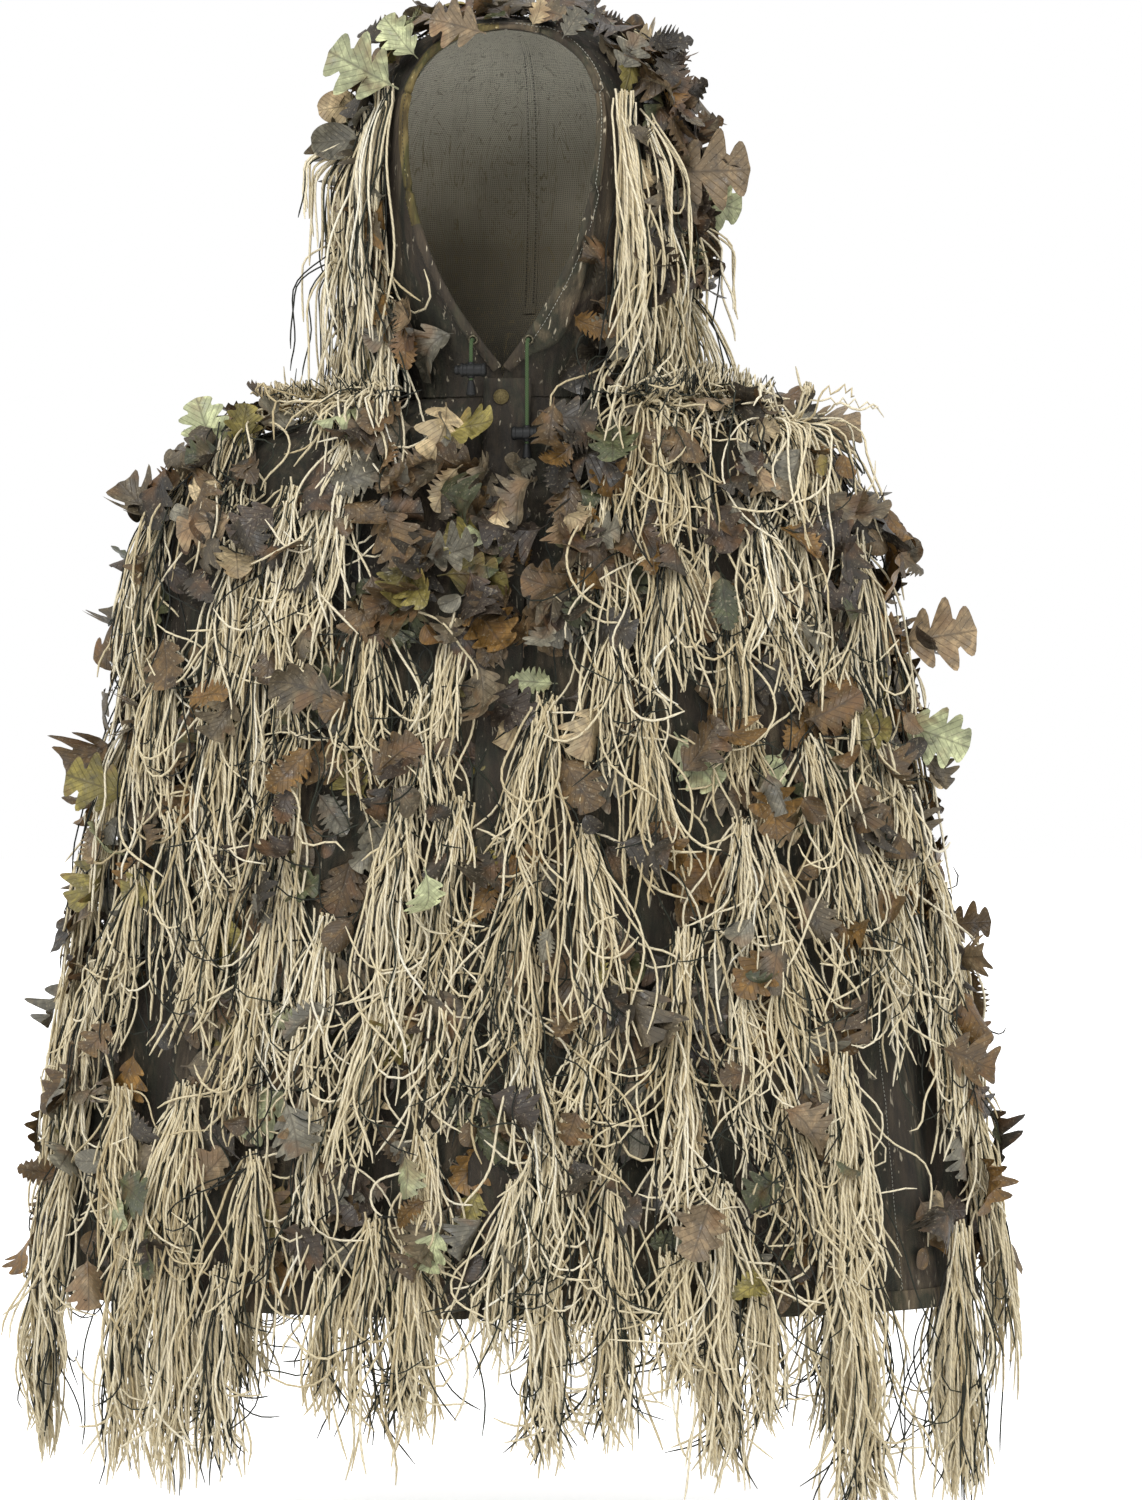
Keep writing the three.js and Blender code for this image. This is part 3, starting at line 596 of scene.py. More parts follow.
YARN = yarn_material()
CAMO = camo_material("camo_cloth")
BINDING = camo_material("binding_cloth", light=1.25)
OLIVE = camo_material("olive_binding", light=1.35, olive=0.7)
LINING = mesh_material()
LEAF = leaf_material()
BRASS = worn_metal("snap_brass", srgb(98, 88, 60), srgb(66, 58, 40), 0.5)
NICKEL = worn_metal("eyelet_metal", srgb(112, 106, 88), srgb(60, 56, 46), 0.42)
STEEL = worn_metal("spring_steel", srgb(190, 190, 190), srgb(120, 120, 120), 0.25)
PLASTIC = plastic_material()
GREEN_CORD = cord_material("green_cord", srgb(60, 82, 44))
THREAD = cord_material("stitch_thread", srgb(52, 50, 42))
PALE_THREAD = cord_material("pale_thread", srgb(186, 184, 170))


def keep(piece, replaces=()):
    """Hides the CAD nodes that a piece stands for, and returns the piece."""
    if replaces:
        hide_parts(*replaces)
    return piece


# The left front's cloth bends along its fold, the placket below its throat, and the hood where
# it tips back.
FOLD_OUT = np.array([-0.920, -0.035, -0.269])
FOLD_POINT = np.array([0.030, -0.110, -0.056])


FOLD_START = FOLD_POINT - FOLD_OUT * 0.010
BENDS = {
    "left front": ("front_left", tuple(FOLD_START), tuple(FOLD_START + FOLD_OUT * 0.045)),
    "placket": ("front_left", (0, 0, FLAP_TOP_Z), (0, 0, FLAP_TOP_Z - 0.07)),
    "hood": ("hood", (0, 0, 0.047), (0, 0, 0.165)),
}


def move_with(piece, place):
    """Makes a piece follow a body; a piece on a bend only has its transform applied."""
    if place in BENDS:
        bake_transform(piece)
    else:
        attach(piece, place)


# ---------- camera ----------

def add_camera():
    """A long lens at the height of the chest, a little to the wearer's left."""
    data = bpy.data.cameras.new("camera")
    camera = bpy.data.objects.new("camera", data)
    bpy.context.scene.collection.objects.link(camera)
    bpy.context.scene.camera = camera
    distance = 5.0
    tall = 1.2
    elevation = math.radians(1.5)
    data.sensor_width = 36
    data.lens = data.sensor_width * distance / tall
    data.clip_start = 0.1
    data.clip_end = 60
    away = VIEW_TOWARD * math.cos(elevation) + UP * math.sin(elevation)
    aim = VIEW_RIGHT * 0.045 - UP * 0.280
    camera.location = tuple(aim + away * distance)
    camera.rotation_euler = (math.pi / 2 - elevation, 0, VIEW_AZIMUTH)


add_camera()


# ---------- drawcords with their ends, locks and eyelets ----------

# Turned profiles, as distance from the axis and place along it.
CORD_CAP = [
    (0.0, 0.0), (0.0030, 0.0), (0.0040, -0.0013), (0.0038, -0.0026), (0.0035, -0.0030), (0.0036, -0.0034),
    (0.0031, -0.0075), (0.0026, -0.0108), (0.0021, -0.0122), (0.0014, -0.0122),
]
EYELET = [
    (0.0022, -0.0004), (0.0042, -0.0004), (0.0042, 0.0002), (0.0038, 0.0009), (0.0030, 0.0013),
    (0.0024, 0.0012), (0.0021, 0.0006), (0.0021, -0.0004),
]
LOCK_BARREL = [
    (0.0, -0.0120), (0.0046, -0.0120), (0.0055, -0.0110), (0.0055, -0.0088), (0.0050, -0.0084),
    (0.0050, -0.0030), (0.0055, -0.0024), (0.0055, 0.0024), (0.0050, 0.0030), (0.0050, 0.0058),
    (0.0055, 0.0062), (0.0055, 0.0080), (0.0042, 0.0080), (0.0042, 0.0020), (0.0, 0.0020),
]
LOCK_COLLAR = [(0.0017, 0.0040), (0.0017, 0.0060), (0.0022, 0.0063), (0.0027, 0.0060), (0.0029, 0.0040)]
LOCK_BUTTON = [
    (0.0, -0.0030), (0.0038, -0.0030), (0.0038, 0.0088), (0.0034, 0.0092), (0.0034, 0.0098),
    (0.0038, 0.0102), (0.0038, 0.0122), (0.0030, 0.0130), (0.0, 0.0130),
]
PLASTIC_FINISH = (PLASTIC, "black_plastic")


def add_turned(name, profile, place, axis, finish, body, nodes=(), sides=40):
    """A turned piece that rides on a body in place of its CAD nodes."""
    material, slot = finish
    piece = keep(lathe_mesh(name, profile, place, axis, material, sides), nodes)
    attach(piece, body)
    return piece


def cord_line(node):
    """From the eyelet, round one easy bend and straight down, as the CAD cord runs."""
    low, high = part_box(node)
    radius = CORD_DIAMETER / 2
    x = (low.x + high.x) / 2
    exit_z = high.z - radius
    hang_y = low.y + radius
    turn = 0.008
    points = [(x, high.y, exit_z)]
    for angle in np.linspace(0, math.pi / 2, 12):
        points.append((x, hang_y + turn - turn * math.sin(angle), exit_z - turn * (1 - math.cos(angle))))
    count = max(8, round((exit_z - turn - low.z) / 0.002))
    for z in np.linspace(exit_z - turn, low.z, count + 1)[1:]:
        points.append((x, hang_y, z))
    return np.array(points)


def add_drawcord(side):
    """A braided cord with its moulded end, its metal eyelet and its lock."""
    line = cord_line(f"drawcord_{side}")
    radii = np.full((1, len(line)), CORD_DIAMETER / 2)
    radii[0, 1::2] *= 0.96
    cord = tube_mesh(f"green_cord_{side}", line[None], radii, 16, GREEN_CORD)
    keep(cord, [f"drawcord_{side}"])
    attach(cord, "root")

    foot = (line[-1][0], line[-1][1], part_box(f"cord_end_{side}")[0].z)
    nodes = [f"cord_end_{side}"]
    end = add_turned(f"cord_cap_{side}", rounded(CORD_CAP), foot, -UP, PLASTIC_FINISH, "root", nodes)

    low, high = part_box(f"eyelet_{side}")
    place = ((low.x + high.x) / 2, high.y, (low.z + high.z) / 2)
    finish = (NICKEL, "eyelet_metal")
    add_turned(f"metal_eyelet_{side}", rounded(EYELET), place, (0, -1, 0), finish, "root", [f"eyelet_{side}"])
    add_cord_lock(side)


def add_cord_lock(side):
    """A barrel lock with two end rings, a collar where the cord goes in, and a ribbed button."""
    out = (1 if side == "left" else -1, 0, 0)
    low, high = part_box(f"cord_lock_{side}")
    cord_low, cord_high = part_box(f"drawcord_{side}")
    place = ((cord_low.x + cord_high.x) / 2, (low.y + high.y) / 2, (low.z + high.z) / 2)
    lock = f"cord_lock_{side}"
    button = f"cord_lock_button_{side}"
    add_turned(f"lock_barrel_{side}", rounded(LOCK_BARREL), place, out, PLASTIC_FINISH, lock, [lock], 48)
    for end, way in (("top", UP), ("bottom", -UP)):
        add_turned(f"lock_collar_{end}_{side}", LOCK_COLLAR, place, way, PLASTIC_FINISH, lock, sides=24)
    add_turned(f"lock_button_{side}", rounded(LOCK_BUTTON), place, out, PLASTIC_FINISH, button, [button])
    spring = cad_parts[f"cord_lock_spring_{side}"]
    spring.data.materials.clear()
    spring.data.materials.append(STEEL)


add_drawcord("left")
add_drawcord("right")


# ---------- snaps ----------

SNAP_PROFILES = {
    "snap_cap": [
        (0.0, 0.0039), (0.0012, 0.0039), (0.0012, 0.0073), (0.0060, 0.0073), (0.0062, 0.0075),
        (0.0062, 0.0079), (0.0059, 0.0082), (0.0054, 0.0082), (0.0051, 0.0084), (0.0040, 0.0088),
        (0.0022, 0.00905), (0.0, 0.0091),
    ],
    "snap_socket": [
        (0.0028, 0.0020), (0.0052, 0.0020), (0.0052, 0.0026), (0.0040, 0.0034), (0.0028, 0.0034),
        (0.0028, 0.0020),
    ],
    "snap_stud": [
        (0.0, 0.0010), (0.0050, 0.0010), (0.0050, 0.0015), (0.0020, 0.0017), (0.0023, 0.0030),
        (0.0018, 0.0036), (0.0, 0.0036),
    ],
    "snap_post": [
        (0.0, -0.0036), (0.0050, -0.0036), (0.0050, -0.0028), (0.0012, -0.0028), (0.0012, 0.0007),
        (0.0, 0.0007),
    ],
}


def add_snaps():
    """Four snaps on the front's middle line. The lower three part when the left front opens."""
    for number, z in enumerate(SNAP_HEIGHTS, start=1):
        place, outward = surface(0.0, z)
        for part, profile in SNAP_PROFILES.items():
            node = f"{part}_{number}"
            moving = part in ("snap_cap", "snap_socket") and number > 1
            body = "front_left" if moving else "root"
            add_turned(f"brass_{node}", rounded(profile), place, outward, (BRASS, "snap_brass"), body, [node])


add_snaps()


# ---------- cloth ----------

def levels(top, bottom, step):
    """Heights from top to bottom, about a step apart."""
    return np.linspace(top, bottom, max(2, round((top - bottom) / step) + 1))


def sheet_points(z, left, right, columns, inside, shape=hang):
    """A grid of points over the surface between two edges given as angles for each height."""
    share = np.linspace(0, 1, columns)[None]
    tall = z[:, None] * np.ones_like(share)
    angle = left(z)[:, None] * (1 - share) + right(z)[:, None] * share
    return surface(angle, tall, -inside - shape(angle, tall))[0]


def cut_size(points):
    """The flat cut of a sheet: its width, its length, and its area."""
    width = np.linalg.norm(np.diff(points, axis=1), axis=2).sum(axis=1).max()
    length = np.linalg.norm(np.diff(points, axis=0), axis=2).sum(axis=0).max()
    one = points[1:, 1:] - points[:-1, :-1]
    other = points[1:, :-1] - points[:-1, 1:]
    area = 0.5 * np.linalg.norm(np.cross(one, other), axis=2).sum()
    return (float(width), float(length)), float(min(area, width * length))


sheets = {}


def add_sheet(name, points, place, finish, replaces, held, rests_on):
    """A sheet of cloth, kept in sheets with its flat cut, how it is held, what it rests on and the pieces on
    it.
    """
    material, slot = finish
    piece = keep(grid_mesh(name, points, material), replaces)
    move_with(piece, place)
    flat, area = cut_size(points)
    sheets[name] = {
        "piece": piece, "flat": flat, "area": area, "held": held, "rests_on": [rests_on], "with": [],
    }


def put_on(sheet, piece, place):
    """Makes a piece part of a sheet, and moves it with its place."""
    move_with(piece, place)
    sheets[sheet]["with"].append(piece)


def always(angle):
    """An edge at the same angle at every height."""
    return lambda z: np.full_like(z, angle)


def edge_at(x):
    """An edge that runs straight down the front, x to the side of the middle."""
    return lambda z: angle_at_x(x, z)


# Angles run from 0 at the front to SIDE at the wearer's left and twice that at the back.
SIDE = math.pi / 2
CAMO_FINISH = (CAMO, "camo_cloth")


def add_cape():
    """The back and the two fronts, each one hanging sheet."""
    panels = {
        "back": (["back_panel"], always(SIDE), always(3 * SIDE), 190, "root", "neck_tape"),
        "right": (["front_right_panel"], always(-SIDE), edge_at(-PANEL_EDGE_X), 95, "root", "cape_back"),
        "left": (
            ["front_left_panel", "front_left_flap"], edge_at(PLACKET_HALF + 0.0025), always(SIDE), 95,
            "left front", "cape_back",
        ),
    }
    z = levels(-0.0003, HEM_Z, 0.007)
    for side, (nodes, start, end, columns, place, rests_on) in panels.items():
        points = sheet_points(z, start, end, columns, 0.0)
        add_sheet(f"cape_{side}", points, place, CAMO_FINISH, nodes, "hung", rests_on)


def add_hems():
    """A binding folded over each sheet's hem."""
    hems = {
        "back": (["hem_binding_back"], always(SIDE), always(3 * SIDE), 190, "root"),
        "right": (["hem_binding_right"], always(-SIDE), edge_at(-PANEL_EDGE_X), 95, "root"),
        "left": (
            ["hem_binding_left", "hem_binding_flap"], edge_at(PLACKET_COVER_X + 0.001), always(SIDE), 95,
            "left front",
        ),
    }
    z = levels(HEM_Z + 0.014, HEM_Z - 0.0012, 0.0025)
    for side, (nodes, start, end, columns, place) in hems.items():
        outer = sheet_points(z, start, end, columns, -0.0012)
        inner = sheet_points(z, start, end, columns, 0.0016)
        points = np.concatenate([outer, inner[::-1]])
        piece = keep(grid_mesh(f"hem_tape_{side}", points, BINDING), nodes)
        put_on(f"cape_{side}", piece, place)


add_cape()
add_hems()


def bezier(points, t):
    """Points of a cubic curve."""
    p = np.array(points)
    t = t[:, None]
    return (p[0] * (1 - t) ** 3 + p[1] * 3 * t * (1 - t) ** 2 + p[2] * 3 * t * t * (1 - t) + p[3] * t ** 3)


def face_edge():
    """One side of the teardrop face opening, as (x, z) from its lowest point to its top."""
    t = np.linspace(0, 1, 60)
    lower = bezier([(0, 0.0176), (0.036, 0.062), (0.078, 0.120), (0.078, 0.216)], t)
    upper = bezier([(0.078, 0.216), (0.078, 0.264), (0.046, FACE_TOP_Z), (0, FACE_TOP_Z)], t)
    return np.vstack([lower, upper[1:]])


FACE_EDGE = face_edge()


def face_angle(z):
    """How far round from the front the hood's cloth starts beside the face opening."""
    half = np.interp(z, FACE_EDGE[:, 1], FACE_EDGE[:, 0], left=0.0, right=0.0)
    return np.arcsin(np.clip(half / np.maximum(section(z)[0], 1e-4), 0, 1))


def hood_levels():
    """Heights down the hood, closer together at the crown."""
    low = levels(DOME_BASE_Z, 0.0004, 0.005)
    turn = np.linspace(0.999, 0.0, 34)[:-1]
    high = DOME_BASE_Z + (CROWN_Z - DOME_BASE_Z) * np.sin(turn * math.pi / 2)
    return np.concatenate([high, low])


def slack(angle, z):
    """The hood's cloth sags a little between its seams."""
    return 0.0022 * ripple(angle * 1.3, z * 0.8) * smoothstep(-z, -0.30, -0.26) + 0.0002


def face_angle_right(z):
    return -face_angle(z)


def lining_start(z):
    """The lining's left edge, a little behind the cloth's."""
    return face_angle(z) + 0.01


def lining_end(z):
    """The lining's right edge, reached the long way round."""
    return FULL_TURN - face_angle(z) - 0.01


def add_hood():
    """Two outer halves that meet at the back, and a mesh lining in one piece."""
    z = hood_levels()
    left = sheet_points(z, face_angle, always(math.pi), 90, 0.0, slack)
    right = sheet_points(z, face_angle_right, always(-math.pi), 90, 0.0, slack)[:, ::-1]
    lining = sheet_points(z, lining_start, lining_end, 150, LINING_DEPTH, slack)[:, ::-1]
    halves = {"left": (left, ["hood_left_panel", "hood_collar"]), "right": (right, ["hood_right_panel"])}
    for side, (points, nodes) in halves.items():
        add_sheet(f"hood_cloth_{side}", points, "hood", CAMO_FINISH, nodes, "stretched", "hood_rim")
    add_sheet("hood_lining", lining, "hood", (LINING, "mesh_lining"), [], "hung", "hood_rim")


add_hood()


def rim_line():
    """The face opening's edge on the hood, from one side of the throat over the top to the other."""
    left = FACE_EDGE[FACE_EDGE[:, 0] > 0.0030][::2]
    x = np.concatenate([left[:, 0], [0.0], -left[::-1, 0]])
    z = np.concatenate([left[:, 1], [FACE_TOP_Z], left[::-1, 1]])
    return surface(angle_at_x(x, z), z)


def add_rim():
    """The folded binding round the face: narrow on the right, wide and pleated on the left."""
    line, normal = rim_line()
    tangent = unit(np.gradient(line, axis=0))
    away = unit(np.cross(normal, tangent))
    x = line[:, 0]
    z = line[:, 2]
    leftish = smoothstep(x, 0.0, 0.03)
    width = 0.0085 + 0.0180 * leftish * (1 - smoothstep(z, 0.055, 0.165)) * smoothstep(z, 0.02, 0.055)
    turn = np.linspace(0, FULL_TURN, 29)[:-1]
    across = np.sign(np.cos(turn)) * np.abs(np.cos(turn)) ** 0.8
    up = np.sign(np.sin(turn)) * np.abs(np.sin(turn)) ** 0.8
    along = np.cumsum(np.linalg.norm(np.diff(line, axis=0, prepend=line[:1]), axis=1))
    pleat = 0.0007 * np.sin(across[None] * 9 + 2 * np.sin(along[:, None] * 25)) * leftish[:, None]
    thick = 0.0027 + 0.0005 * np.sin(along * 160) + 0.0004 * np.sin(along * 71)
    shift = (width / 2 - 0.004)[:, None] + across[None] * (width / 2)[:, None]
    lift = 0.0006 + up[None] * (thick[:, None] + np.maximum(up[None], 0) * pleat)
    sign = np.sign(np.sum(away * unit(line - np.array([0, 0, 0.17])), axis=1))
    away = away * sign[:, None]
    points = line[:, None] + away[:, None] * shift[..., None] + normal[:, None] * lift[..., None]
    olive = (x < -0.004) & (z > 0.13)
    first = np.argmax(olive)
    last = len(x) - np.argmax(olive[::-1])
    stretches = {
        "hood_rim": (0, first + 1, BINDING, ["hood_face_binding", "throat_binding_left"]),
        "hood_rim_olive": (first, last, OLIVE, []),
        "hood_rim_right": (last - 1, len(x), BINDING, ["throat_binding_right"]),
    }
    for name, (start, end, material, nodes) in stretches.items():
        piece = grid_mesh(name, points[start:end], material, around=True)
        put_on("hood_lining", keep(piece, nodes), "hood")
    return line, normal, away


rim, rim_normal, rim_away = add_rim()


def thick_strip(x_left, x_right, z, inner, outer, columns=14):
    """Points round a flat strip with thickness, closed round its edges, one row for each height."""
    share = np.concatenate([np.linspace(0, 1, columns), np.linspace(1, 0, columns)])
    offset = np.concatenate([np.full(columns, outer), np.full(columns, inner)])
    offset[[0, columns - 1]] -= 0.25 * (outer - inner)
    offset[[columns, -1]] += 0.25 * (outer - inner)
    x = x_left + (x_right - x_left) * share
    tall = z[:, None] * np.ones_like(x)
    wave = 0.0005 * np.sin(share * 17 + 40 * tall) + 0.0004 * np.sin(70 * tall + share * 5)
    return surface(angle_at_x(x, tall), tall, offset + wave)[0]


def add_plackets():
    """The strip under the opening, and the one over it in two lengths: the lower one is put on the placket's
    bend.
    """
    throat = levels(PLACKET_TOP_Z, FLAP_TOP_Z, 0.003)
    below = levels(FLAP_TOP_Z, HEM_Z - 0.0005, 0.005)
    whole = levels(PLACKET_TOP_Z, HEM_Z, 0.005)
    under = thick_strip(-PLACKET_HALF, PLACKET_HALF, whole, -0.0016, 0.0004)
    over_throat = thick_strip(-PLACKET_HALF, PLACKET_COVER_X, throat, PLACKET_BACK, PLACKET_FACE)
    over = thick_strip(-PLACKET_HALF, PLACKET_COVER_X, below, PLACKET_BACK, PLACKET_FACE)
    strips = [
        ("placket_strip_under", under, "placket_under", "cape_right", "root"),
        ("placket_strip_throat", over_throat, "placket_over_throat", "cape_right", "root"),
        ("placket_strip_over", over, "placket_over", "cape_left", "placket"),
    ]
    for name, points, node, sheet, place in strips:
        piece = grid_mesh(name, points, CAMO, around=True)
        put_on(sheet, keep(piece, [node]), place)


def add_neck_tape():
    """A tape inside the neck seam, open at the throat."""
    tall, angle = np.meshgrid(
        np.linspace(0.007, -0.007, 5), np.linspace(0.32, FULL_TURN - 0.32, 120), indexing="ij"
    )
    _, wide, deep = CAPE_SECTIONS[-1]
    inset = 0.0035 + 0.0004 * np.sin(40 * angle)
    points = np.stack([(wide - inset) * np.sin(angle), -(deep - inset) * np.cos(angle), tall], axis=-1)
    piece = grid_mesh("neck_tape", points, BINDING)
    put_on("cape_back", keep(piece, ["neck_band"]), "root")


def add_seam_tape():
    """A tape down the lining's back seam."""
    z = levels(0.296, 0.07, 0.004)
    points = sheet_points(z, always(math.pi - 0.05), always(math.pi + 0.05), 6, LINING_DEPTH + 0.0014, slack)
    piece = grid_mesh("seam_tape", points, LINING)
    put_on("hood_lining", keep(piece, ["hood_seam_tape"]), "hood")


add_plackets()
add_neck_tape()
add_seam_tape()


# ---------- stitches ----------

def stitch_lines(line, normal):
    """Short stitches along a line, each sunk at its ends."""
    gaps = np.linalg.norm(np.diff(line, axis=0), axis=1)
    along = np.concatenate([[0], np.cumsum(gaps)])
    starts = np.arange(STITCH_PITCH, along[-1] - STITCH_PITCH, STITCH_PITCH)
    share = np.linspace(0, 1, 4)
    at = starts[:, None] + share[None] * STITCH_LENGTH
    points = np.stack([np.interp(at, along, line[:, k]) for k in range(3)], axis=-1)
    out = np.stack([np.interp(at, along, normal[:, k]) for k in range(3)], axis=-1)
    return points + unit(out) * (STITCH_RADIUS * np.sin(share * math.pi))[None, :, None]


def add_stitches(name, rows, material, sheet, place):
    lines = np.concatenate(rows)
    radii = np.tile(np.array([0.5, 1.0, 1.0, 0.5]) * STITCH_RADIUS, (len(lines), 1))
    put_on(sheet, keep(tube_mesh(name, lines, radii, 5, material)), place)


def add_placket_stitches():
    """A row down each edge of the placket."""
    throat = levels(PLACKET_TOP_Z - 0.002, FLAP_TOP_Z + 0.001, 0.004)
    below = levels(FLAP_TOP_Z - 0.001, HEM_Z + 0.004, 0.01)
    lengths = [("throat", throat, "cape_right", "root"), ("placket", below, "cape_left", "placket")]
    for name, z, sheet, place in lengths:
        rows = []
        for x in (-PLACKET_HALF + 0.003, PLACKET_COVER_X - 0.003):
            rows.append(stitch_lines(*surface(angle_at_x(x, z), z, PLACKET_FACE)))
        add_stitches(f"stitches_{name}", rows, THREAD, sheet, place)


def add_hood_stitches():
    """A row round the binding of the face, pale on the left, and two down the lining's seam."""
    for side, out, material in (("left", 1, PALE_THREAD), ("right", -1, THREAD)):
        here = rim[:, 0] * out > 0.004
        line = rim[here] + rim_away[here] * 0.0025 + rim_normal[here] * 0.0034
        rows = [stitch_lines(line, rim_normal[here])]
        add_stitches(f"stitches_rim_{side}", rows, material, "hood_lining", "hood")

    z = levels(0.29, 0.075, 0.006)
    rows = []
    for angle in (math.pi - 0.030, math.pi + 0.030):
        points, normal = surface(angle, z, -0.0052 - slack(angle, z))
        rows.append(stitch_lines(points, -normal))
    add_stitches("stitches_seam", rows, THREAD, "hood_lining", "hood")


def add_fold_stitches():
    """A pale row down the bare fold of the left front."""
    z = levels(-0.40, -0.70, 0.01)
    angle = angle_seen_at(0.292, -0.55)
    points, normal = surface(angle, z, 0.0004 - hang(angle, z))
    add_stitches("stitches_fold", [stitch_lines(points, normal)], PALE_THREAD, "cape_left", "left front")


add_placket_stitches()
add_hood_stitches()
add_fold_stitches()


# ---------- yarn ----------

RINGS = 17
TUFT_SPACING = 0.090
MOST_STRANDS = 1300
BLACK_SHARE = 0.27
# What a tuft is: its place, its length and number of strands, how far they fan out, which way
# they lean, how far they stand off, how pale they are, and how much they vary and wave.
TUFT_KEYS = ("angle", "z", "length", "strands", "spread", "lean", "bulk", "pale", "vary", "wave")


def grow(rows, seed):
    """The strands of every tuft, as lines that fall by gravity and slide over the worn surface."""
    dice = np.random.default_rng(seed)
    table = np.array(rows, float)
    owner = np.repeat(np.arange(len(rows)), table[:, TUFT_KEYS.index("strands")].astype(int))
    n = len(owner)
    pick = {key: table[owner, k] for k, key in enumerate(TUFT_KEYS)}
    start, normal = surface(pick["angle"], pick["z"], 0.005 + 0.010 * dice.random(n))
    start += level_way(normal) * (dice.normal(0, 0.0045, n))[:, None]
    start[:, 2] += dice.normal(0, 0.004, n)
    black = dice.random(n) < BLACK_SHARE
    length = pick["length"] * (1 + pick["vary"] * dice.normal(0, 1, n).clip(-3, 1.8))
    length = np.minimum(length, start[:, 2] - TIPS_Z + dice.normal(0, 0.008, n))
    fan = dice.normal(0, 1.0, n) * pick["spread"]
    stray = dice.random(n) < np.where(black, 0.34, 0.13) * (pick["wave"] > 0.5)
    wild = np.where(stray, 2.3, 1.0) * pick["wave"]
    fan = np.where(stray, fan * 2.8, fan)
    waves = [
        (dice.normal(0, 0.24, n) * wild, dice.uniform(3.0, 7.5, n), dice.uniform(0, 6.3, n)),
        (dice.normal(0, 0.17, n) * wild, dice.uniform(9, 17, n), dice.uniform(0, 6.3, n)),
    ]
    puff = (dice.normal(0, 0.24, n), dice.uniform(4, 10, n), dice.uniform(0, 6.3, n))
    hooked = dice.random(n) < np.where(black, 0.5, 0.26) * pick["wave"]
    hook = np.where(hooked, dice.normal(0, 1.6, n), dice.normal(0, 0.25, n))
    layer = 0.006 + pick["bulk"] * dice.random(n) ** 1.3
    line = np.empty((n, RINGS, 3))
    line[:, 0] = start
    step = (length / (RINGS - 1))[:, None]
    for k in range(1, RINGS):
        s = k / (RINGS - 1)
        point = line[:, k - 1]
        out = outside(point)[1]
        angle = pick["lean"] * (1.0 - 0.6 * s) + fan * (1.30 - 1.25 * s) + hook * smoothstep(s, 0.55, 1.0)
        for size, rate, phase in waves:
            angle = angle + size * np.sin(rate * s + phase) * (0.35 + 0.9 * s)
        lift = puff[0] * np.sin(puff[1] * s + puff[2])
        way = level_way(out) * np.sin(angle)[:, None] + out * (lift * smoothstep(s, 0.0, 0.3))[:, None]
        way[:, 2] -= np.cos(angle)
        target = clear_of_cloth(point + unit(way) * step, layer * smoothstep(s, -0.25, 0.5))
        line[:, k] = clear_of_cloth(point + unit(target - point) * step, YARN_CLEARANCE)
    taper = np.ones(RINGS)
    taper[-1] = 0.45
    radius = np.where(black, THREAD_RADIUS, YARN_RADIUS * dice.normal(1, 0.06, n).clip(0.85, 1.15))
    shade = 0.12 + 0.88 * np.clip(0.45 + dice.normal(0, 0.2, n) + pick["pale"], 0.02, 1)
    tone = np.where(black, 0.09 * dice.random(n), shade)
    return line, radius[:, None] * taper, tone


def add_yarn(name, rows, seed, replaces, sheet, place):
    """The tufts of one region, in pieces of no more strands than MOST_STRANDS."""
    line, radii, tone = grow(rows, seed)
    chunks = math.ceil(len(line) / MOST_STRANDS)
    for number, part in enumerate(np.array_split(np.arange(len(line)), chunks), start=1):
        piece = tube_mesh(f"{name}_{number}", line[part], radii[part], 4, YARN, {"tone": tone[part]})
        put_on(sheet, keep(piece, replaces if number == 1 else []), place)


# Places across the view and height where the dark cloth shows, with no tufts.
BARE = [(0.293, -0.55, 0.026, 0.17), (-0.275, -0.43, 0.022, 0.03), (-0.02, -0.03, 0.075, 0.075)]

# The clumps that hang below the front hem: how far across, the height of their tips, strands.
HEM_CLUMPS = [
    (-0.372, -0.846, 44), (-0.300, -0.842, 44), (-0.258, -0.846, 52), (-0.222, -0.834, 46),
    (-0.141, -0.786, 30), (-0.078, -0.806, 52), (0.028, -0.822, 50), (0.074, -0.808, 46),
    (0.120, -0.766, 36), (0.157, -0.838, 50), (0.190, -0.798, 34), (0.262, -0.872, 66),
    (0.340, -0.870, 62),
]


def seen_across(angle, z):
    """How far across the view the surface point is seen."""
    a, b, c = section(z)[:3]
    return a * np.sin(angle) * math.cos(VIEW_AZIMUTH) + (c - b * np.cos(angle)) * math.sin(VIEW_AZIMUTH)


def is_bare(angle, z):
    """Whether a front point lies in one of the bare places."""
    if math.cos(angle) < 0:
        return False
    across = seen_across(angle, z)
    return any(abs(across - x) < w and abs(z + 0.02 - height) < h for x, height, w, h in BARE)


def random_tuft(dice, angle, z, length):
    """A tuft whose looks vary by chance."""
    return (
        angle, z, length, dice.integers(42, 68), dice.uniform(0.08, 0.20), dice.normal(0, 0.11),
        dice.uniform(0.014, 0.024), dice.normal(0, 0.10), 0.15, 1.0,
    )


def even_angles(z, count, shift):
    """Angles at equal steps along the outline, not in angle; shift moves them by a part of a step."""
    a, b = section(z)[:2]
    fine = np.linspace(0, FULL_TURN, 721)
    arc = np.concatenate([[0], np.cumsum(np.hypot(np.diff(a * np.sin(fine)), np.diff(b * np.cos(fine))))])
    share = (np.arange(count) + shift) / count
    return np.interp(share * arc[-1], arc, fine)


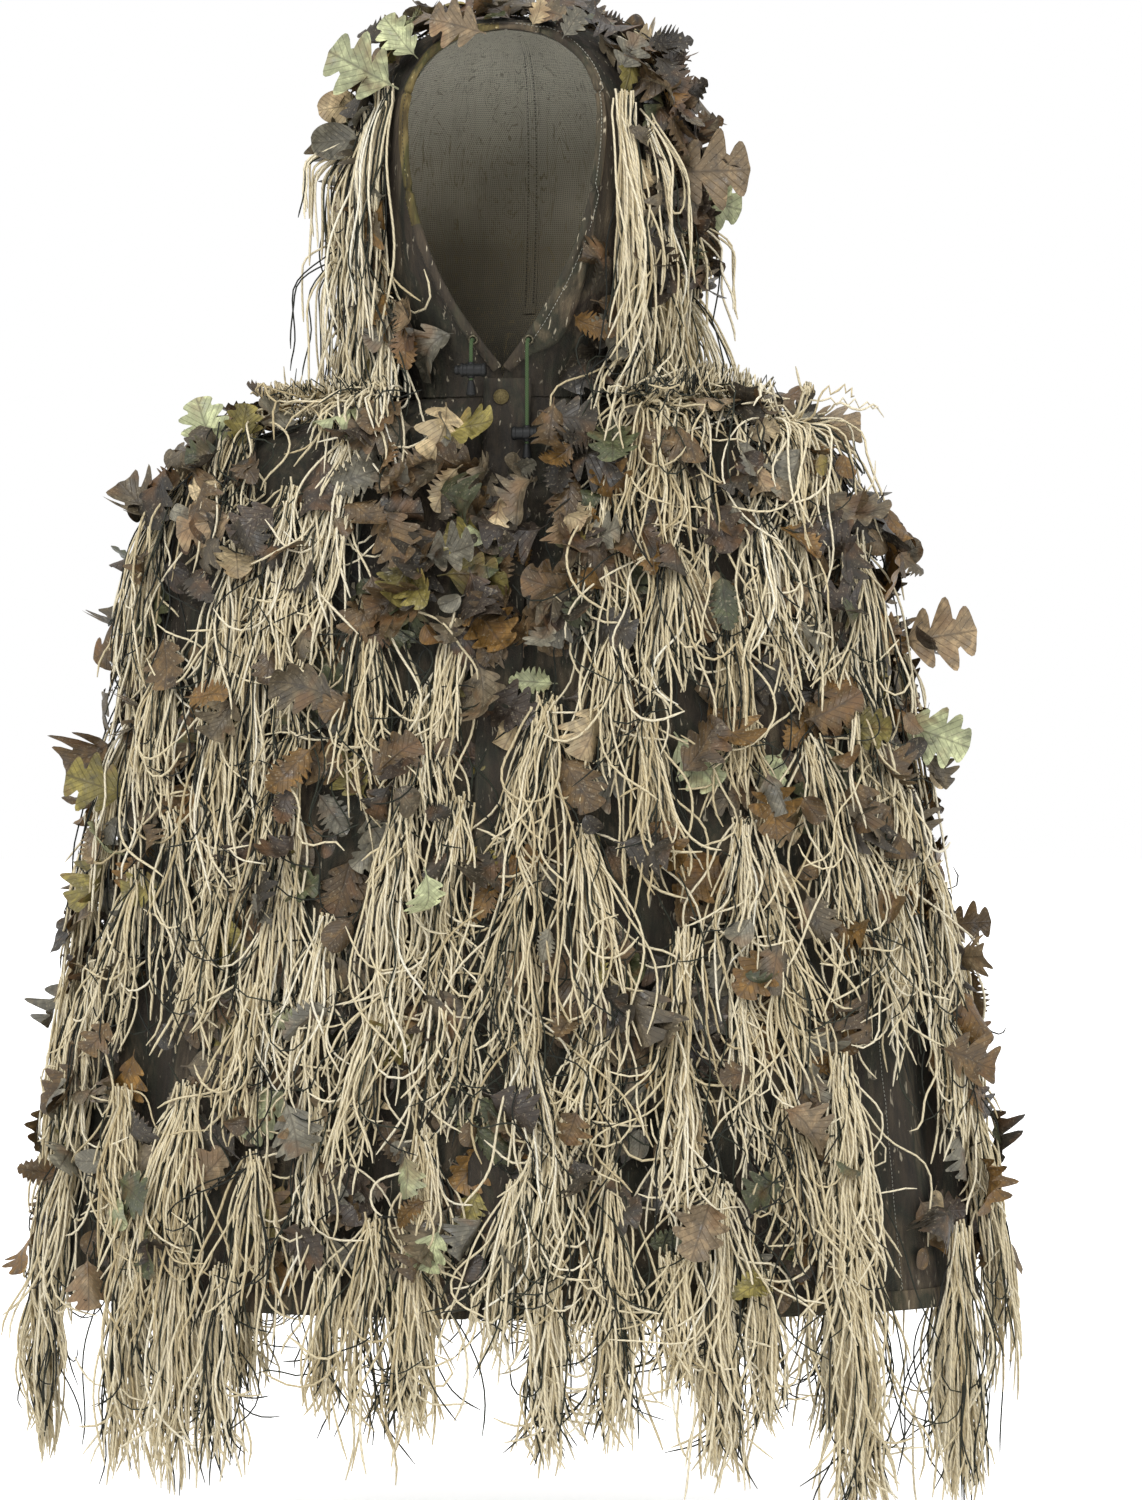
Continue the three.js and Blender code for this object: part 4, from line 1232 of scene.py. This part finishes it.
def cape_tufts():
    """Tufts in staggered rows all round the cape, and the clumps below its hem."""
    dice = np.random.default_rng(11)
    rows = []
    for number, z in enumerate([-0.013, -0.026] + list(np.arange(-0.048, -0.61, -0.070))):
        a, b = section(z)[:2]
        around = math.pi * (3 * (a + b) - math.sqrt((3 * a + b) * (a + 3 * b)))
        for angle in even_angles(z, round(around / TUFT_SPACING), 0.5 * (number % 2)):
            angle = wrapped(angle + dice.normal(0, 0.015) / max(a, 0.1))
            height = z + dice.normal(0, 0.018 if z < -0.03 else 0.002)
            if abs(a * math.sin(angle)) < 0.028 and math.cos(angle) > 0:
                angle = math.copysign(angle_at_x(0.026, height), angle)
            if not is_bare(angle, height):
                rows.append(random_tuft(dice, angle, min(height, -0.012), dice.uniform(0.115, 0.175)))
    for across, tip, strands in HEM_CLUMPS:
        for behind in (False, True):
            top = HEM_Z + dice.uniform(0.02, 0.06)
            angle = wrapped(angle_seen_at(across, top, behind))
            length = (top - tip) * (0.88 if behind else 0.96)
            lean = dice.normal(0, 0.03)
            rows.append((angle, top, length, strands * 1.5, 0.07, lean, 0.012, 0.0, 0.07, 0.6))
    return rows


def hood_tufts():
    """The clumps that frame the face, and a looser cover round the back of the hood."""
    dice = np.random.default_rng(23)
    # Across, height, length, strands, spread, lean, how far the strands stand off.
    framing = [
        (-0.094, 0.240, 0.190, 62, 0.10, -0.04, 0.022), (-0.106, 0.222, 0.175, 44, 0.11, -0.05, 0.024),
        (-0.104, 0.110, 0.175, 60, 0.15, -0.05, 0.030), (-0.092, 0.075, 0.150, 56, 0.13, 0.02, 0.022),
        (-0.118, 0.175, 0.120, 30, 0.13, -0.10, 0.030), (-0.112, 0.085, 0.170, 44, 0.22, -0.10, 0.045),
        (-0.114, 0.205, 0.100, 36, 0.10, -0.10, 0.048), (-0.114, 0.130, 0.130, 30, 0.20, -0.10, 0.060),
        (0.081, 0.232, 0.190, 66, 0.055, -0.02, 0.016), (0.100, 0.215, 0.140, 24, 0.12, 0.02, 0.036),
        (0.096, 0.064, 0.135, 52, 0.27, -0.36, 0.024), (0.104, 0.056, 0.165, 46, 0.30, -0.05, 0.030),
        (0.108, 0.078, 0.240, 56, 0.24, -0.10, 0.060), (0.110, 0.050, 0.220, 56, 0.26, -0.05, 0.050),
        (0.116, 0.100, 0.220, 50, 0.24, 0.00, 0.070), (0.118, 0.150, 0.110, 22, 0.24, 0.10, 0.060),
        (-0.112, 0.030, 0.150, 34, 0.28, -0.10, 0.040), (0.112, 0.020, 0.190, 44, 0.28, -0.20, 0.045),
    ]
    rows = []
    for across, z, length, strands, spread, lean, bulk in framing:
        wave = 0.35 if z > 0.10 else 0.9
        angle = angle_seen_at(across, z)
        rows.append((angle, z, length, strands, spread, lean, bulk, 0.08, 0.10, wave))
    # Height and step in angle of each row behind them.
    cover = [(0.291, 0.50), (0.258, 0.42), (0.205, 0.36), (0.145, 0.36), (0.088, 0.38), (0.040, 0.40)]
    for z, step in cover:
        first = 1.35 if z < 0.22 else 2.0
        for angle in np.arange(first, FULL_TURN - first + 0.05, step):
            angle = wrapped(angle + dice.normal(0, 0.05))
            rows.append(random_tuft(dice, angle, z + dice.normal(0, 0.010), dice.uniform(0.11, 0.15)))
    return rows


def add_cape_yarn():
    """The cape's tufts, on the back, the right front or the left front."""
    regions = {"back": [], "right": [], "left": []}
    for row in cape_tufts():
        angle = row[0]
        side = "left" if angle > 0 else "right"
        regions["back" if math.cos(angle) < 0 else side].append(row)
    for seed, (name, rows) in enumerate(regions.items(), start=31):
        nodes = [f"fringe_{name}_{number}" for number in (1, 2, 3)]
        if name == "left":
            nodes += ["fringe_flap_1", "fringe_flap_2"]
        place = "left front" if name == "left" else "root"
        add_yarn(f"yarn_{name}", rows, seed, nodes, f"cape_{name}", place)


def add_hood_yarn():
    """The hood's tufts, on its two halves."""
    rows = hood_tufts()
    for side, sign in (("left", 1), ("right", -1)):
        here = [row for row in rows if row[0] * sign > 0]
        add_yarn(f"yarn_hood_{side}", here, 41 + sign, [f"fringe_hood_{side}"], f"hood_cloth_{side}", "hood")


add_cape_yarn()
add_hood_yarn()


# ---------- leaves ----------

LEAF_ROWS = 27
LEAF_COLUMNS = 5
LEAF_TINTS = {
    "brown": (82, 64, 38), "dark": (46, 40, 30), "rust": (106, 78, 34), "grey": (106, 102, 88),
    "pink": (122, 104, 78), "olive": (116, 106, 54), "sage": (156, 160, 122), "tan": (164, 146, 112),
    "moss": (66, 70, 44), "plum": (56, 46, 36), "bark": (86, 76, 58),
}
TINT_SHARES = {
    "brown": 0.24, "dark": 0.14, "rust": 0.09, "grey": 0.10, "pink": 0.06, "olive": 0.05, "sage": 0.02,
    "tan": 0.03, "moss": 0.05, "plum": 0.09, "bark": 0.13,
}


def leaf_shape(kind):
    """A flat leaf of length 1 as a grid: across, along, and how far across each column is."""
    y = np.linspace(0, 1, LEAF_ROWS)
    body = np.clip((y - 0.14) / 0.86, 0, 1)
    dome = np.sin(math.pi * np.clip(body, 0, 1) ** 0.85) ** 0.55
    if kind == "oak":
        width = 0.40 * dome * (0.30 + 0.70 * np.abs(np.sin(math.pi * 4 * body)) ** 0.6)
    elif kind == "finger":
        width = 0.46 * dome * (0.20 + 0.80 * np.abs(np.sin(math.pi * 3 * body)) ** 0.8)
    elif kind == "fray":
        width = 0.30 * dome * (0.35 + 0.65 * np.abs(np.sin(math.pi * 8 * body)) ** 0.9)
    else:
        width = 0.34 * np.sqrt(np.clip(1 - ((body - 0.52) / 0.50) ** 2, 0, 1))
    width = np.where(body > 0, np.maximum(width, 0.012), 0.012)
    share = np.linspace(-1, 1, LEAF_COLUMNS)
    x = width[:, None] * share[None]
    forward = 0.28 if kind in ("oak", "finger") else 0.05
    along = y[:, None] + forward * np.abs(x) * (body > 0)[:, None]
    return np.stack([x, along], axis=-1)


LEAF_SHAPES = {kind: leaf_shape(kind) for kind in ("oak", "finger", "fray", "round")}


def place_leaves(leaves, dice):
    """Points, corner patterns and tints of many leaves. Each leaf is a dict of its place and look."""
    points = []
    patterns = []
    tints = []
    faces = grid_faces(LEAF_ROWS, LEAF_COLUMNS)
    for leaf in leaves:
        shape = LEAF_SHAPES[leaf["kind"]]
        x = shape[..., 0]
        y = shape[..., 1]
        bow, cup, crinkle, phase = leaf["curl"]
        bend = bow * (y - 0.4) ** 2 + cup * x * x * 3 + crinkle * np.sin(7 * y + 9 * x + phase) * 0.05
        along = unit(leaf["along"])
        face = unit(leaf["face"] - along * np.dot(leaf["face"], along))
        across = np.cross(along, face)
        local = across * x[..., None] + along * y[..., None] + face * bend[..., None]
        points.append((leaf["place"] + leaf["length"] * local).reshape(-1, 3))
        patterns.append(shape.reshape(-1, 2)[faces.ravel()])
        tint = np.array(srgb(*leaf["tint"])[:3]) * dice.uniform(0.7, 1.25)
        tints.append(np.tile(tint, (LEAF_ROWS * LEAF_COLUMNS, 1)))
    points = clear_of_cloth(np.concatenate(points), LEAF_CLEARANCE, HEM_Z - 0.01)
    step = LEAF_ROWS * LEAF_COLUMNS
    all_faces = (faces[None] + (np.arange(len(leaves)) * step)[:, None, None]).reshape(-1, 4)
    return points, all_faces, np.concatenate(patterns), np.concatenate(tints)


def loose_leaf(dice, angle, z, offset, scale=1.0, tilt=1.0):
    """A leaf on the surface, sewn down at its stem end. tilt says how far it may stand up."""
    place, normal = surface(angle, z, offset)
    flat = level_way(normal)
    down = unit(np.cross(flat, normal))
    if down[2] > 0:
        down = -down
    turn = dice.normal(0, 1.0)
    along = down * math.cos(turn) + flat * math.sin(turn) + normal * tilt * dice.uniform(-0.10, 0.60)
    face = normal + flat * tilt * dice.normal(0, 0.55) + down * tilt * dice.normal(0, 0.45)
    names = list(TINT_SHARES)
    name = names[dice.choice(len(names), p=list(TINT_SHARES.values()))]
    kind = ("oak", "finger", "fray", "round")[dice.choice(4, p=[0.42, 0.14, 0.24, 0.20])]
    length = scale * dice.uniform(0.030, 0.056) * (0.6 if kind == "round" else 1.0)
    return {
        "place": place - unit(along) * length * 0.35, "along": along, "face": face, "length": length,
        "kind": kind, "tint": LEAF_TINTS[name],
        "curl": (tilt * dice.normal(0, 0.7), dice.normal(0, 0.6), dice.uniform(0.3, 1.2), dice.uniform(0, 6)),
    }


def cape_leaves():
    """Rows round the cape, a denser cover on the shoulders and chest, and some round each snap."""
    dice = np.random.default_rng(57)
    leaves = []
    for z in np.arange(-0.028, -0.70, -0.032):
        a, b = section(z)[:2]
        around = FULL_TURN * math.sqrt((a * a + b * b) / 2)
        dense = 1.3 if z > -0.12 else 1.5
        for _ in range(round(dense * around / 0.030)):
            angle = dice.uniform(-math.pi, math.pi)
            height = min(z + dice.normal(0, 0.010), -0.022)
            if is_bare(angle, height) and height < -0.2:
                continue
            if abs(a * math.sin(angle)) < 0.030 and math.cos(angle) > 0 and height > -0.046:
                continue
            over = dice.random() < 0.25 or (math.cos(angle) > 0 and height > -0.13)
            offset = dice.uniform(0.016, 0.027) if over else dice.uniform(0.001, 0.006)
            leaves.append(loose_leaf(dice, angle, height, offset, 1.02, 1.0 if over else 0.4))
    for _ in range(80):
        z = dice.uniform(-0.075, -0.023)
        angle = wrapped(dice.uniform(0.9, FULL_TURN - 0.9))
        leaves.append(loose_leaf(dice, angle, z, dice.uniform(0.004, 0.018)))
    for _ in range(70):
        z = dice.uniform(-0.19, -0.05)
        angle = float(angle_at_x(dice.uniform(-0.105, 0.075), z))
        leaves.append(loose_leaf(dice, angle, z, dice.uniform(0.009, 0.020), 1.05))
    for z in SNAP_HEIGHTS[1:]:
        for x, above in ((-0.010, 0.004), (0.004, 0.016), (0.014, 0.006), (0.000, -0.004)):
            leaves.append(loose_leaf(dice, float(angle_at_x(x, z)), z + above, 0.0135))
    return leaves


def hood_leaves():
    """Leaves all over the hood, dark frayed ones at its left edge, and a cover on its crown."""
    dice = np.random.default_rng(59)
    leaves = []
    crown_front = surface(0.0, CROWN_Z - 0.030, 0.0)[0][1] + 0.016
    for _ in range(380):
        z = 0.02 + 0.280 * dice.random() ** 0.8
        start = float(face_angle(np.array([z]))[0]) + 0.20
        angle = wrapped(dice.uniform(start, FULL_TURN - start))
        leaves.append(loose_leaf(dice, angle, z, dice.uniform(0.003, 0.020)))
    for _ in range(90):
        z = dice.uniform(0.09, 0.282)
        angle = angle_seen_at(dice.uniform(0.085, 0.12), z) + dice.uniform(0, 0.4)
        leaf = loose_leaf(dice, angle, z, dice.uniform(0.008, 0.030), 1.1)
        leaf["kind"] = "fray" if z > 0.2 else leaf["kind"]
        leaf["tint"] = LEAF_TINTS[("dark", "plum", "bark", "brown")[dice.integers(4)]]
        leaves.append(leaf)
    for _ in range(75):
        z = CROWN_Z - 0.001 - 0.034 * dice.random() ** 1.3
        angle = dice.uniform(-math.pi, math.pi)
        leaf = loose_leaf(dice, angle, z, dice.uniform(0.003, 0.012), 0.95, 0.5)
        if leaf["along"][1] < 0:
            leaf["along"] = -leaf["along"]
        if leaf["place"][1] > crown_front:
            leaves.append(leaf)
    return leaves


# Leaves that stand out at the edge: across, height, the way they point in degrees from up,
# turning right, their length, tint and kind.
EDGE_LEAVES = [
    (-0.086, 0.240, -62, 0.062, "sage", "finger"), (-0.072, 0.262, -40, 0.042, "sage", "oak"),
    (-0.020, 0.280, -76, 0.046, "pink", "finger"), (0.014, 0.284, 20, 0.024, "tan", "oak"),
    (0.036, 0.276, 34, 0.028, "grey", "oak"), (0.078, 0.252, 30, 0.034, "grey", "finger"),
    (0.112, 0.226, 55, 0.044, "dark", "fray"), (0.110, 0.178, 88, 0.072, "pink", "finger"),
    (0.104, 0.244, 40, 0.040, "plum", "fray"), (0.118, 0.206, 70, 0.046, "bark", "fray"),
    (0.120, 0.140, 100, 0.040, "dark", "oak"), (0.122, 0.116, 80, 0.044, "brown", "oak"),
    (0.128, 0.166, 104, 0.058, "sage", "oak"), (-0.116, 0.236, -100, 0.040, "tan", "round"),
    (-0.112, 0.205, -95, 0.044, "grey", "round"), (0.298, -0.196, 80, 0.066, "pink", "finger"),
    (0.296, -0.256, 110, 0.062, "sage", "oak"), (0.288, -0.130, 70, 0.036, "grey", "round"),
    (-0.300, -0.318, -70, 0.055, "olive", "finger"), (-0.232, -0.052, -20, 0.052, "sage", "oak"),
    (-0.216, -0.046, 10, 0.040, "olive", "oak"), (-0.352, -0.620, -80, 0.040, "brown", "fray"),
    (0.250, -0.260, 92, 0.044, "olive", "oak"), (0.338, -0.420, 85, 0.040, "brown", "finger"),
    (-0.120, 0.060, -85, 0.036, "dark", "fray"), (0.120, 0.100, 75, 0.038, "brown", "round"),
]


def edge_leaf(dice, across, z, points_to, length, tint, kind):
    """A leaf of EDGE_LEAVES, facing the front."""
    turn = math.radians(points_to)
    return {
        "place": surface(angle_seen_at(across, z), z, 0.006)[0],
        "along": VIEW_RIGHT * math.sin(turn) + UP * math.cos(turn) + VIEW_TOWARD * 0.12,
        "face": VIEW_TOWARD + VIEW_RIGHT * dice.normal(0, 0.2),
        "length": length, "kind": kind, "tint": LEAF_TINTS[tint],
        "curl": (dice.normal(0, 0.25), 0.3, 0.8, dice.uniform(0, 6)),
    }


def add_leaves(name, leaves, sheet, place):
    """Many leaves as one piece on a sheet."""
    dice = np.random.default_rng(len(leaves))
    points, faces, pattern, tints = place_leaves(leaves, dice)
    piece = make_mesh(name, points, faces, LEAF, uv=pattern, values={"leaf_tint": tints})
    put_on(sheet, piece, place)


def add_all_leaves():
    """Every leaf on the sheet that it is sewn to."""
    dice = np.random.default_rng(61)
    extra = [edge_leaf(dice, *row) for row in EDGE_LEAVES]
    groups = {"back": [], "right": [], "left": []}
    hood = {"left": [], "right": []}
    for leaf in cape_leaves() + extra + hood_leaves():
        x, y, z = leaf["place"]
        if z > 0:
            hood["left" if x > 0 else "right"].append(leaf)
        else:
            throat = z > FLAP_TOP_Z and abs(x) < 0.03
            front = "left" if x > -0.016 and not throat else "right"
            groups["back" if y > 0 else front].append(leaf)
    for name, leaves in groups.items():
        place = "left front" if name == "left" else "root"
        add_leaves(f"leaves_{name}", leaves, f"cape_{name}", place)
    for name, leaves in hood.items():
        add_leaves(f"leaves_hood_{name}", leaves, f"hood_cloth_{name}", "hood")


add_all_leaves()


# ---------- studio ----------

def add_studio():
    """A white floor, a white surrounding, and soft lights."""
    recipe = Recipe("studio_paper", roughness=0.95, color=grey(0.9))
    recipe.set("Emission Color", grey(1.0))
    recipe.set("Emission Strength", 0.75)
    floor_z = float(cad_low.z) - 0.012
    turn = np.linspace(0, FULL_TURN, 65)[:-1]
    circle = np.stack([np.sin(turn), np.cos(turn), 0 * turn], axis=-1)
    points = np.stack([circle * reach for reach in (12.0, 3.0, 1.0, 0.01)]) + [0, 0, floor_z]
    floor = grid_mesh("studio_floor", points, recipe.material, around=True)
    floor.visible_diffuse = False

    scene = bpy.context.scene
    scene.view_settings.view_transform = "Standard"
    world = bpy.data.worlds.new("studio_world")
    scene.world = world
    world.use_nodes = True
    background = world.node_tree.nodes["Background"]
    background.inputs["Color"].default_value = (1, 1, 1, 1)
    background.inputs["Strength"].default_value = 1.0

    lights = [
        ("key_light", (-0.9, -3.2, 2.4), 1.3, 70),
        ("fill_light", (2.4, -2.6, 0.9), 2.0, 16),
        ("top_light", (0.2, 0.6, 2.8), 1.6, 20),
    ]
    for name, place, size, power in lights:
        data = bpy.data.lights.new(name, "AREA")
        data.size = size
        data.energy = power
        light = bpy.data.objects.new(name, data)
        scene.collection.objects.link(light)
        light.location = place
        away = unit(np.array(place) + UP * 0.25)
        light.rotation_euler = (math.acos(away[2]), 0, math.atan2(away[0], -away[1]))


add_studio()
